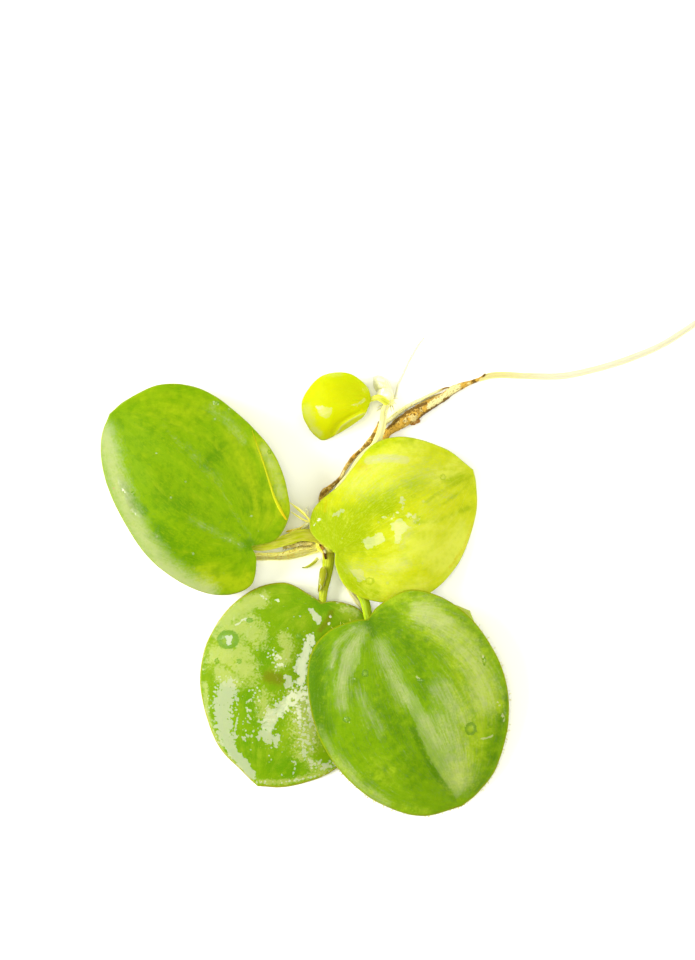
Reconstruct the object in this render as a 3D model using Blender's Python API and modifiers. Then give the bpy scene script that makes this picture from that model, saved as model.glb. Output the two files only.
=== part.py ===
"""Amazon frogbit, a floating water plant, lying on a flat surface after it was lifted out.

Lengths are millimetres and become metres through MM. x points right, y away, z up from the
surface. Places are measured from the crown, the short stem where every stalk and root starts;
one empty carries the whole plant, so that the origin is the middle of its footprint.
"""
from math import exp, hypot, sin

import bmesh
import bpy
from mathutils import Vector

MM = 0.001
PLANT = "amazon_frogbit"
CROWN_X = -11.6
CROWN_Y = 1.4

# A blade is a disc of spokes and rings, bent into the leaf's plan and height
SPOKES_A_SIDE = 22
RINGS = 5
SMALL_SPOKES_A_SIDE = 10
SMALL_RINGS = 4
RIM_ROUNDING = 2.2
RIM_THICKNESS_SHARE = 0.28
# How late the midrib's groove fades and the blade thins on the way to the rim
GROOVE_FADE = 4
THINNING = 3
CURVE_STEPS = 24
# How often a knot's lumps repeat over its width
LUMP_TURNS = (5, 2, 4, 3)
WELD = 0.00001

LEAF_GREEN = (0.16, 0.40, 0.01)
LIGHT_GREEN = (0.36, 0.58, 0.01)
YELLOW_GREEN = (0.58, 0.66, 0.01)
STALK_GREEN = (0.30, 0.42, 0.03)
CREAM = (0.86, 0.78, 0.42)
STRAW = (0.50, 0.40, 0.10)
BROWN = (0.22, 0.10, 0.03)


def clear_scene():
    for item in list(bpy.data.objects):
        bpy.data.objects.remove(item, do_unlink=True)


def make_collection():
    collection = bpy.data.collections.new(PLANT)
    bpy.context.scene.collection.children.link(collection)
    return collection


def make_material(name, colour, roughness):
    material = bpy.data.materials.new(name)
    material.use_nodes = True
    shader = material.node_tree.nodes["Principled BSDF"]
    shader.inputs["Base Color"].default_value = (*colour, 1.0)
    shader.inputs["Roughness"].default_value = roughness
    shader.inputs["Metallic"].default_value = 0.0
    return material


def smooth_route(points, steps=CURVE_STEPS):
    """A smooth curve through a few points, as a dense list of vectors of the same length."""
    stops = [Vector(point) for point in points]
    stops = [2 * stops[0] - stops[1]] + stops + [2 * stops[-1] - stops[-2]]
    route = []
    for before, start, end, after in zip(stops, stops[1:], stops[2:], stops[3:]):
        for step in range(steps):
            t = step / steps
            bend = (2 * before - 5 * start + 4 * end - after) * t * t
            twist = (3 * start - before - 3 * end + after) * t * t * t
            route.append((2 * start + (end - before) * t + bend + twist) / 2)
    route.append(stops[-2])
    return route


def even_stops(route, count):
    """count + 1 places at equal distances in plan and height along a dense route."""
    reach = [0.0]
    for here, there in zip(route, route[1:]):
        reach.append(reach[-1] + (there - here).length)
    stops = []
    leg = 0
    for number in range(count + 1):
        wanted = reach[-1] * number / count
        while leg < len(route) - 2 and reach[leg + 1] < wanted:
            leg += 1
        span = reach[leg + 1] - reach[leg]
        stops.append(route[leg].lerp(route[leg + 1], (wanted - reach[leg]) / span))
    return stops


def add_to_plant(item, plant, collection, colour, roughness):
    item.data.materials.append(make_material(item.name + "_finish", colour, roughness))
    collection.objects.link(item)
    item.parent = plant


def distance_to_line(x, y, start, end):
    along_x, along_y = end[0] - start[0], end[1] - start[1]
    return abs((x - start[0]) * along_y - (y - start[1]) * along_x) / hypot(along_x, along_y)


def make_blade(name, leaf, small=False):
    """A leaf blade: its upper face from the rim's points, thickened downwards."""
    side = SMALL_SPOKES_A_SIDE if small else SPOKES_A_SIDE
    rings = SMALL_RINGS if small else RINGS
    ends = [leaf["base"]], [leaf["tip"]]
    right = even_stops(smooth_route(ends[0] + leaf["right"] + ends[1]), side)
    left = even_stops(smooth_route(ends[0] + leaf["left"] + ends[1]), side)
    rim = right + left[-2::-1]
    middle = Vector(leaf["middle"])

    mesh = bpy.data.meshes.new(name)
    shape = bmesh.new()
    bmesh.ops.create_grid(shape, x_segments=2 * side, y_segments=rings, size=1.0)
    weights = shape.verts.layers.deform.new()
    for vert in shape.verts:
        spoke = round((1 - vert.co.x) * side)
        ring = (vert.co.y + 1) / 2
        edge = rim[spoke]
        x = middle.x + (edge.x - middle.x) * ring
        y = middle.y + (edge.y - middle.y) * ring
        z = middle.z + (edge.z - middle.z) * ring**RIM_ROUNDING
        off_midrib = distance_to_line(x, y, leaf["base"], leaf["tip"]) / leaf["groove_width"]
        z -= leaf["groove"] * exp(-off_midrib * off_midrib) * (1 - ring**GROOVE_FADE)
        vert.co = Vector((x, y, z)) * MM
        vert[weights][0] = 1 - (1 - RIM_THICKNESS_SHARE) * ring**THINNING
    bmesh.ops.remove_doubles(shape, verts=shape.verts, dist=WELD)
    shape.to_mesh(mesh)
    shape.free()
    mesh.shade_smooth()

    blade = bpy.data.objects.new(name, mesh)
    blade.vertex_groups.new(name="thickness")
    body = blade.modifiers.new("thickness", "SOLIDIFY")
    body.thickness = leaf["thickness"] * MM
    body.offset = -1.0
    body.vertex_group = "thickness"
    return blade


def make_strand(name, route, stops):
    """A stalk or root: a tapering tube on a smooth curve through its route."""
    curve = bpy.data.curves.new(name, "CURVE")
    curve.dimensions = "3D"
    curve.bevel_depth = MM
    curve.bevel_resolution = 2
    curve.use_fill_caps = True
    places = even_stops(smooth_route(route), stops)
    spline = curve.splines.new("POLY")
    spline.points.add(len(places) - 1)
    for spot, place in zip(spline.points, places):
        spot.co = (place[0] * MM, place[1] * MM, place[2] * MM, 1.0)
        spot.radius = place[3]
    spline.use_smooth = True
    return bpy.data.objects.new(name, curve)


def make_knot(name, centre, half_size, lumps, subdivisions):
    """A lumpy rounded body, where stalks and roots come together."""
    mesh = bpy.data.meshes.new(name)
    shape = bmesh.new()
    bmesh.ops.create_icosphere(shape, subdivisions=subdivisions, radius=1.0)
    a, b, c, d = LUMP_TURNS
    for vert in shape.verts:
        x, y, z = vert.co
        swell = 1 - lumps * (1 + sin(a * x + b * z) * sin(c * y - d * z)) / 2
        place = [middle + half * swell * way
                 for middle, half, way in zip(centre, half_size, (x, y, z))]
        vert.co = Vector(place) * MM
    shape.to_mesh(mesh)
    shape.free()
    mesh.shade_smooth()
    return bpy.data.objects.new(name, mesh)


# Each blade: plan and height of its upper face. Right and left are seen from base to tip.
LEAVES = {
    "leaf_left": {
        "base": (-9.1, 0.2, 4.7),
        "tip": (-26.9, 16.8, 1.2),
        "right": [
            (-6.2, 1.0, 4.9), (-4.7, 3.2, 5.2), (-4.4, 6.0, 5.6), (-6.2, 11.6, 5.9),
            (-10.6, 16.6, 5.3), (-15.6, 19.9, 3.9), (-20.5, 20.4, 2.6), (-24.8, 18.5, 1.6),
        ],
        "left": [
            (-8.5, -1.5, 4.5), (-9.2, -4.6, 3.2), (-12.5, -5.9, 1.6), (-16.9, -4.9, 0.8),
            (-21.9, -1.4, 0.35), (-25.6, 4.1, 0.26), (-27.6, 9.0, 0.26), (-28.0, 13.5, 0.6),
        ],
        "middle": (-16.5, 7.5, 5.3),
        "groove": 0.3,
        "groove_width": 1.6,
        "thickness": 1.2,
        "colour": LEAF_GREEN,
    },
    "leaf_centre": {
        "base": (1.3, -0.4, 5.4),
        "tip": (18.5, 9.8, 1.2),
        "right": [
            (1.3, -2.1, 5.1), (2.5, -4.7, 4.8), (4.8, -6.2, 4.4), (8.8, -6.8, 4.1),
            (13.2, -5.5, 3.2), (16.9, -1.5, 1.4), (18.85, 4.1, 0.24), (18.9, 7.9, 0.5),
        ],
        "left": [
            (-0.2, 0.4, 4.9), (-1.8, 2.2, 4.1), (-1.6, 4.5, 3.8), (-0.5, 6.0, 3.7),
            (1.8, 7.9, 3.6), (3.7, 10.3, 3.65), (6.1, 13.0, 3.8), (9.8, 13.9, 3.8),
            (15.0, 12.4, 2.4),
        ],
        "middle": (9.2, 4.2, 6.1),
        "groove": 0.25,
        "groove_width": 1.6,
        "thickness": 1.1,
        "colour": YELLOW_GREEN,
    },
    "leaf_lower_left": {
        "base": (-0.4, -6.8, 1.9),
        "tip": (-8.4, -29.8, 0.36),
        "right": [
            (-1.9, -5.8, 1.8), (-5.0, -4.3, 1.6), (-8.8, -5.1, 1.4), (-12.5, -8.0, 1.1),
            (-15.1, -12.8, 0.8), (-15.5, -18.0, 0.5), (-13.6, -24.3, 0.36), (-10.2, -28.1, 0.36),
        ],
        "left": [
            (1.3, -6.6, 1.9), (3.8, -7.3, 1.8), (5.1, -8.9, 1.7), (5.4, -13.0, 1.5),
            (5.2, -19.0, 1.1), (3.8, -24.8, 0.8), (0.6, -28.1, 0.5), (-4.4, -29.8, 0.36),
        ],
        "middle": (-5.2, -16.5, 2.1),
        "groove": 0.15,
        "groove_width": 1.6,
        "thickness": 1.1,
        "colour": LIGHT_GREEN,
    },
    "leaf_lower_right": {
        "base": (5.3, -8.8, 5.0),
        "tip": (17.1, -32.3, 0.28),
        "right": [
            (3.4, -9.0, 4.9), (0.4, -10.3, 4.5), (-1.8, -13.2, 4.1), (-2.1, -17.6, 3.7),
            (-0.9, -23.1, 3.0), (1.9, -27.8, 2.0), (6.3, -31.6, 1.1), (11.9, -33.5, 0.5),
        ],
        "left": [
            (6.9, -6.9, 5.4), (10.7, -5.1, 5.6), (15.2, -6.4, 5.2), (19.2, -9.9, 4.5),
            (22.3, -15.6, 3.4), (22.9, -21.5, 2.4), (21.4, -27.4, 1.4), (19.2, -30.5, 0.7),
        ],
        "middle": (10.6, -18.8, 6.0),
        "groove": 0.6,
        "groove_width": 2.6,
        "thickness": 1.2,
        "colour": LEAF_GREEN,
    },
    "leaf_young": {
        "base": (9.4, -16.3, 1.5),
        "tip": (18.1, -7.8, 1.5),
        "right": [(11.5, -16.9, 1.2), (14.9, -16.2, 1.0), (18.0, -13.6, 1.1), (18.8, -10.2, 1.4)],
        "left": [(9.2, -14.0, 1.5), (10.1, -10.6, 1.7), (12.7, -7.7, 1.9), (15.7, -7.0, 1.8)],
        "middle": (14.0, -12.0, 2.6),
        "groove": 0.1,
        "groove_width": 1.0,
        "thickness": 0.7,
        "colour": YELLOW_GREEN,
    },
    "daughter_leaf": {
        "base": (5.8, 18.6, 2.7),
        "tip": (-1.95, 14.8, 0.7),
        "right": [
            (5.2, 20.2, 2.8), (2.9, 21.8, 2.8), (-0.4, 21.5, 2.2), (-2.7, 18.9, 1.3), (-2.8, 16.6, 0.9),
        ],
        "left": [
            (5.4, 17.5, 2.6), (4.6, 16.2, 2.3), (1.9, 14.4, 1.2), (-0.1, 13.45, 0.6), (-1.15, 13.95, 0.6),
        ],
        "middle": (1.4, 17.8, 3.3),
        "groove": 0.0,
        "groove_width": 1.0,
        "thickness": 0.7,
        "colour": YELLOW_GREEN,
    },
    "daughter_sheath": {
        "base": (7.6, 19.3, 0.9),
        "tip": (6.05, 21.4, 0.6),
        "right": [(8.35, 19.7, 0.8), (8.1, 20.6, 0.7), (7.4, 21.3, 0.6), (6.7, 21.6, 0.6)],
        "left": [(6.7, 19.4, 0.9), (6.2, 19.8, 0.8), (6.0, 20.4, 0.7), (6.0, 20.9, 0.6)],
        "middle": (7.1, 20.4, 1.8),
        "groove": 0.0,
        "groove_width": 1.0,
        "thickness": 0.3,
        "colour": CREAM,
    },
    "sheath_lower_left": {
        "base": (0.0, -2.3, 2.45),
        "tip": (-0.85, -5.5, 1.85),
        "right": [(0.25, -3.0, 2.5), (0.1, -3.8, 2.5), (-0.1, -4.5, 2.45), (-0.5, -5.2, 2.2)],
        "left": [(-0.5, -2.5, 2.1), (-0.66, -3.1, 2.0), (-0.76, -3.9, 1.9), (-0.82, -4.8, 1.8)],
        "middle": (-0.3, -3.9, 2.45),
        "groove": 0.0,
        "groove_width": 1.0,
        "thickness": 0.22,
        "colour": STALK_GREEN,
    },
}
SMALL_LEAVES = ("leaf_young", "daughter_leaf", "daughter_sheath", "sheath_lower_left")

# Each stalk or root: colour, how many stops its tube has, and its route as x, y, z, radius
STRANDS = {
    # Stalk of the left leaf, rising towards it
    "petiole_left": (STALK_GREEN, 10, [
        (-1.5, 1.55, 2.4, 0.8), (-3.1, 1.6, 2.6, 0.75), (-4.4, 1.15, 2.8, 0.72),
        (-5.9, 0.7, 3.0, 0.68), (-7.4, 0.3, 3.1, 0.6), (-8.7, 0.2, 3.2, 0.5),
    ]),
    # Short stalk straight up to the centre leaf
    "petiole_centre": (STALK_GREEN, 4, [
        (0.45, 0.7, 3.4, 0.5), (0.9, 0.45, 3.8, 0.5), (1.4, 0.1, 4.2, 0.45),
    ]),
    # Bare stalk of the lower left leaf, low on the surface
    "petiole_lower_left": (STALK_GREEN, 8, [
        (0.45, -1.15, 1.3, 0.75), (0.4, -2.0, 1.25, 0.72), (0.2, -3.4, 1.2, 0.65),
        (-0.1, -5.0, 1.2, 0.55), (-0.3, -6.3, 1.25, 0.5),
    ]),
    # Stalk of the lower right leaf, under the centre leaf
    "petiole_lower_right": (STALK_GREEN, 10, [
        (1.8, -0.4, 2.5, 0.6), (2.5, -2.0, 2.7, 0.6), (3.6, -4.2, 2.9, 0.6),
        (4.9, -6.4, 3.1, 0.6), (5.35, -8.3, 3.55, 0.55),
    ]),
    # Pale stalk of the young leaf, along the surface
    "petiole_young": (CREAM, 14, [
        (1.75, -0.85, 0.85, 0.35), (2.2, -2.6, 0.6, 0.35), (3.2, -5.4, 0.45, 0.35),
        (4.7, -7.4, 0.4, 0.35), (5.7, -9.0, 0.4, 0.3), (6.8, -11.2, 0.4, 0.3),
        (8.2, -14.2, 0.5, 0.3), (9.0, -15.7, 0.8, 0.28),
    ]),
    # Pointed shoot beside the crown
    "sprout": (STALK_GREEN, 6, [
        (-0.95, -1.3, 0.6, 0.2), (-1.3, -1.75, 0.6, 0.2), (-1.9, -2.2, 0.55, 0.17),
        (-2.4, -2.4, 0.5, 0.12), (-2.85, -2.45, 0.5, 0.06),
    ]),
    # Thin dry scale beside the left stalk
    "crown_scale": (STRAW, 7, [
        (-1.5, 3.35, 1.5, 0.2), (-2.1, 3.1, 1.45, 0.22), (-2.7, 2.65, 1.4, 0.22),
        (-3.2, 2.35, 1.4, 0.22), (-4.0, 2.2, 1.45, 0.2), (-4.8, 2.05, 1.5, 0.1),
    ]),
    # Upper root of the bundle that runs under the left leaf
    "root_upper": (STRAW, 16, [
        (-1.6, 0.2, 0.95, 0.28), (-3.1, -0.1, 0.88, 0.28), (-4.4, -0.5, 0.8, 0.25),
        (-5.6, -0.75, 0.75, 0.24), (-6.9, -0.8, 0.7, 0.22), (-8.3, -0.8, 0.64, 0.2),
        (-10.5, -1.0, 0.4, 0.18), (-13.0, -1.6, 0.25, 0.15), (-15.5, -1.4, 0.2, 0.1),
    ]),
    # Lower root of the same bundle
    "root_lower": (STRAW, 14, [
        (-1.5, -0.45, 0.55, 0.28), (-3.1, -0.9, 0.42, 0.27), (-4.4, -1.2, 0.35, 0.25),
        (-5.6, -1.3, 0.3, 0.23), (-6.9, -1.3, 0.28, 0.22), (-8.3, -1.3, 0.26, 0.2),
        (-10.4, -1.8, 0.24, 0.16), (-12.5, -3.0, 0.22, 0.1),
    ]),
    # Short brown root under the left stalk
    "root_brown": (BROWN, 7, [
        (-1.7, 0.6, 1.6, 0.26), (-2.3, 0.55, 1.5, 0.28), (-3.1, 0.5, 1.42, 0.28),
        (-4.1, 0.35, 1.3, 0.25), (-5.2, 0.0, 1.2, 0.12),
    ]),
    # Old brown runner, thick and torn past the centre leaf
    "rhizome": (BROWN, 34, [
        (1.2, 2.5, 0.75, 0.5), (2.2, 4.6, 0.65, 0.5), (3.9, 7.6, 0.65, 0.5),
        (5.9, 11.4, 0.65, 0.5), (7.2, 13.4, 0.65, 0.5), (7.95, 14.55, 0.68, 0.53),
        (9.05, 15.3, 0.75, 0.65), (10.35, 16.25, 0.87, 0.8), (11.4, 16.9, 0.88, 0.82),
        (12.5, 17.55, 0.8, 0.71), (13.75, 18.25, 0.68, 0.59), (15.0, 19.0, 0.6, 0.53),
        (15.9, 19.7, 0.56, 0.5), (16.9, 20.2, 0.52, 0.45), (17.9, 20.6, 0.4, 0.3),
        (18.75, 20.9, 0.36, 0.24), (19.5, 21.25, 0.35, 0.18),
    ]),
    # Thin dark root along the upper left rim of the centre leaf
    "old_root": (BROWN, 28, [
        (-0.1, 2.9, 0.7, 0.3), (-0.4, 4.6, 0.5, 0.3), (-0.5, 6.0, 0.45, 0.32),
        (-0.35, 6.6, 0.5, 0.38), (0.1, 7.15, 0.5, 0.4), (0.75, 7.65, 0.4, 0.3),
        (1.9, 8.75, 0.35, 0.24), (2.5, 9.85, 0.35, 0.22), (3.3, 11.05, 0.38, 0.27),
        (4.6, 12.4, 0.35, 0.2), (5.2, 12.95, 0.4, 0.3), (5.7, 13.5, 0.43, 0.34),
        (6.1, 14.15, 0.4, 0.28), (6.4, 14.8, 0.32, 0.2), (6.75, 15.8, 0.25, 0.1),
    ]),
    # Pale strand peeled off the old runner
    "torn_strand": (CREAM, 12, [
        (7.65, 15.75, 0.33, 0.25), (8.4, 16.3, 0.33, 0.27), (9.3, 17.0, 0.33, 0.27),
        (10.3, 17.7, 0.32, 0.25), (11.2, 18.2, 0.32, 0.24), (12.1, 18.65, 0.3, 0.22),
        (13.1, 19.15, 0.3, 0.2), (14.0, 19.6, 0.28, 0.18), (15.0, 20.0, 0.25, 0.1),
    ]),
    # Long pale root that goes on from the old runner
    "long_root": (CREAM, 32, [
        (20.4, 21.5, 0.4, 0.36), (22.0, 21.65, 0.4, 0.39), (25.6, 21.5, 0.4, 0.39),
        (29.4, 21.5, 0.41, 0.4), (33.1, 22.2, 0.41, 0.4), (36.9, 23.3, 0.41, 0.4),
        (40.6, 24.7, 0.4, 0.39), (43.1, 26.0, 0.4, 0.39), (46.3, 28.1, 0.38, 0.36),
        (48.8, 29.6, 0.3, 0.27), (51.2, 30.6, 0.2, 0.1),
    ]),
    # Pale young runner, over the old one, to the daughter plant
    "stolon": (CREAM, 20, [
        (1.0, 2.4, 2.6, 0.45), (0.8, 4.2, 2.4, 0.45), (1.1, 6.2, 2.3, 0.45),
        (2.0, 7.75, 2.3, 0.45), (3.2, 9.2, 2.3, 0.45), (4.1, 10.6, 2.35, 0.45),
        (5.2, 11.9, 2.4, 0.47), (6.05, 12.6, 2.5, 0.48), (6.6, 13.6, 2.6, 0.48),
        (6.95, 14.6, 2.5, 0.48), (7.2, 15.7, 2.2, 0.45), (7.4, 17.2, 1.6, 0.4),
    ]),
    # Very short stalk of the daughter leaf
    "daughter_petiole": (YELLOW_GREEN, 4, [
        (7.2, 18.5, 2.1, 0.4), (6.7, 18.75, 2.3, 0.38), (6.2, 18.7, 2.3, 0.33),
    ]),
    # Fine root of the daughter plant
    "daughter_root": (CREAM, 16, [
        (8.75, 18.8, 0.6, 0.14), (8.95, 19.6, 0.35, 0.14), (9.2, 20.6, 0.22, 0.14),
        (9.7, 21.7, 0.2, 0.14), (10.4, 23.2, 0.19, 0.13), (11.1, 24.5, 0.18, 0.12),
        (11.8, 25.6, 0.18, 0.11), (12.4, 26.3, 0.18, 0.08),
    ]),
}

# Each knot: centre, half sizes, how lumpy it is, how finely it is divided, and its colour
KNOTS = {
    "crown": ((0.3, 0.7, 1.55), (1.5, 1.4, 1.35), 0.12, 3, STALK_GREEN),
    "daughter_crown": ((8.0, 18.3, 1.0), (0.6, 0.6, 0.75), 0.08, 2, STRAW),
}
STALK_ROUGHNESS = 0.45
LEAF_ROUGHNESS = 0.3


def main():
    clear_scene()
    collection = make_collection()
    plant = bpy.data.objects.new(PLANT, None)
    plant.location = (CROWN_X * MM, CROWN_Y * MM, 0.0)
    collection.objects.link(plant)
    for name, leaf in LEAVES.items():
        blade = make_blade(name, leaf, name in SMALL_LEAVES)
        add_to_plant(blade, plant, collection, leaf["colour"], LEAF_ROUGHNESS)
    for name, (colour, stops, route) in STRANDS.items():
        strand = make_strand(name, route, stops)
        add_to_plant(strand, plant, collection, colour, STALK_ROUGHNESS)
    for name, (centre, half_size, lumps, subdivisions, colour) in KNOTS.items():
        knot = make_knot(name, centre, half_size, lumps, subdivisions)
        add_to_plant(knot, plant, collection, colour, STALK_ROUGHNESS)


main()
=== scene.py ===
"""Amazon frogbit, a floating water plant, lying on a white surface: its looks.

Lengths are millimetres and become metres through MM. Places are measured from the crown, the short
stem where every stalk and root starts: x right, y away, z up from the surface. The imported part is
the frame; each piece here stands for the plain solid of its name and keeps its place and size.
"""

import random
from math import hypot, pi, tau

import bmesh
import bpy
import numpy as np
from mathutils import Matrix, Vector
from mathutils.bvhtree import BVHTree
from mathutils.noise import noise


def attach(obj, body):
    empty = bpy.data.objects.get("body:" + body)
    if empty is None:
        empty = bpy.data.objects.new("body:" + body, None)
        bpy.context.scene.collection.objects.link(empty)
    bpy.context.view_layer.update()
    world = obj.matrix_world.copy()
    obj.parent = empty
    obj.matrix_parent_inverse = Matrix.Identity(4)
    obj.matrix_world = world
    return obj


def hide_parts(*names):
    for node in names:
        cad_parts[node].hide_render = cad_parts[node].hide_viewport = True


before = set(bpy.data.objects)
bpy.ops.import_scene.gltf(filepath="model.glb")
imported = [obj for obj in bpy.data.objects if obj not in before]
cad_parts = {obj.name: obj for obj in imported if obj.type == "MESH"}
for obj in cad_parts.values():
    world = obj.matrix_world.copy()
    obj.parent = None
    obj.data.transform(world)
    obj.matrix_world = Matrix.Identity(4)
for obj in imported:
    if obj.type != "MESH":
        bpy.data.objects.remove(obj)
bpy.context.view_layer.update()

MM = 0.001
CROWN = Vector((-11.6, 1.4, 0.0))

# A blade is a disc of spokes and rings, bent into the leaf's plan and height
SPOKES_A_SIDE = 112
RINGS = 64
SMALL_SPOKES_A_SIDE = 56
SMALL_RINGS = 32
# The powers by which its height, midrib groove, thickness and puckers change from middle to rim
RIM_ROUNDING = 2.2
GROOVE_FADE = 4
THINNING = 3
PUCKER_FADE = 6
RIM_THICKNESS_SHARE = 0.2
# The lip where the rim turns down: its start along a spoke and its drop in blade thicknesses
LIP_START = 0.97
LIP_SHARE = 0.05
# How far its rim waves in and out, and the sizes of that wave and of the puckers
WAVE = 0.04
WAVE_SIZE = 2.4
PUCKER_SIZE = 3.4
FINE_PUCKER_SIZE = 1.5
# How soft a wet patch's edge is, and how close to the base or tip the arcs of veins are followed
PANE_EDGE = 0.25
VEIN_START = 0.05
# A height over every leaf
ABOVE_ALL = 50.0
# Each blade's upper face, kept to lay fine strands on
SURFACES = {}

# A tube's steps between two stops, its rounded ends and the lowest place of any strand
CURVE_STEPS = 24
CAP_SHARES = (1.0, 0.85, 0.55)
CAP_LENGTH = 0.6
CAP_LEAST_WIDTH2 = 0.02
LOWEST = 0.02
# A stalk's ribs and soft swellings, as shares of its radius
RIBS = 7
RIB_HEIGHT = 0.02
SWELLING = 0.06

# Wet skin: the leaf's own faint gloss, and the film and drops on it
SKIN_SPECULAR = 0.03
FILM_ROUGHNESS = 0.07
FILM_IOR = 1.5
DROP_HEIGHT = 0.3
DROP_BEND = 0.5
# Light below a blade, as a share by which the underside's paint is brightened, and the painted light that
# brightens a stalk's sideways faces
UNDER_LIGHT = 0.5
SIDE_PAINTED_LIGHT = 0.8
SIDE_LIGHT_TINT = (2.4, 2.4, 1.6, 1.0)
# Light that spreads inside: how far in millimetres, and its shares of red, green and blue
LEAF_DEPTH = 0.8
LEAF_SPREAD = (0.5, 1.0, 0.08)
UNDERSIDE_SPREAD = (0.5, 1.0, 0.1)
STALK_DEPTH = 0.6
STALK_SPREAD = (1.0, 0.9, 0.3)
# A membrane's painted wet highlight and decayed edge
PAINTED_GLEAM = (252, 252, 225)
BROWN_EDGE = (140, 105, 10)

# Stage: the view's middle and the camera's distance in millimetres
VIEW_CENTRE = Vector((-8.79, 9.9, 0.0))
CAMERA_DISTANCE = 667.0
LENS = 200.0
SKY = 0.55
# The room's light is warmer than the window's
ROOM_COLOUR = (1.0, 0.985, 0.8)
WHITE = (1.0, 1.0, 1.0)
# Light panels: the way to each from the plant, distance and side in metres, watts and colour
PANELS = {
    "window_panel": ((-0.85, 0.03, 0.53), 1.0, 0.6, 15.0, WHITE),
    "fill_panel": ((0.85, 0.1, 0.53), 1.2, 0.9, 10.4, WHITE),
    "top_panel": ((-0.05, 0.03, 1.0), 1.2, 0.55, 6.6, ROOM_COLOUR),
}
# How much brighter than its paint a flat surface looks on this stage
LIGHT_GAIN = 2.15

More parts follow.
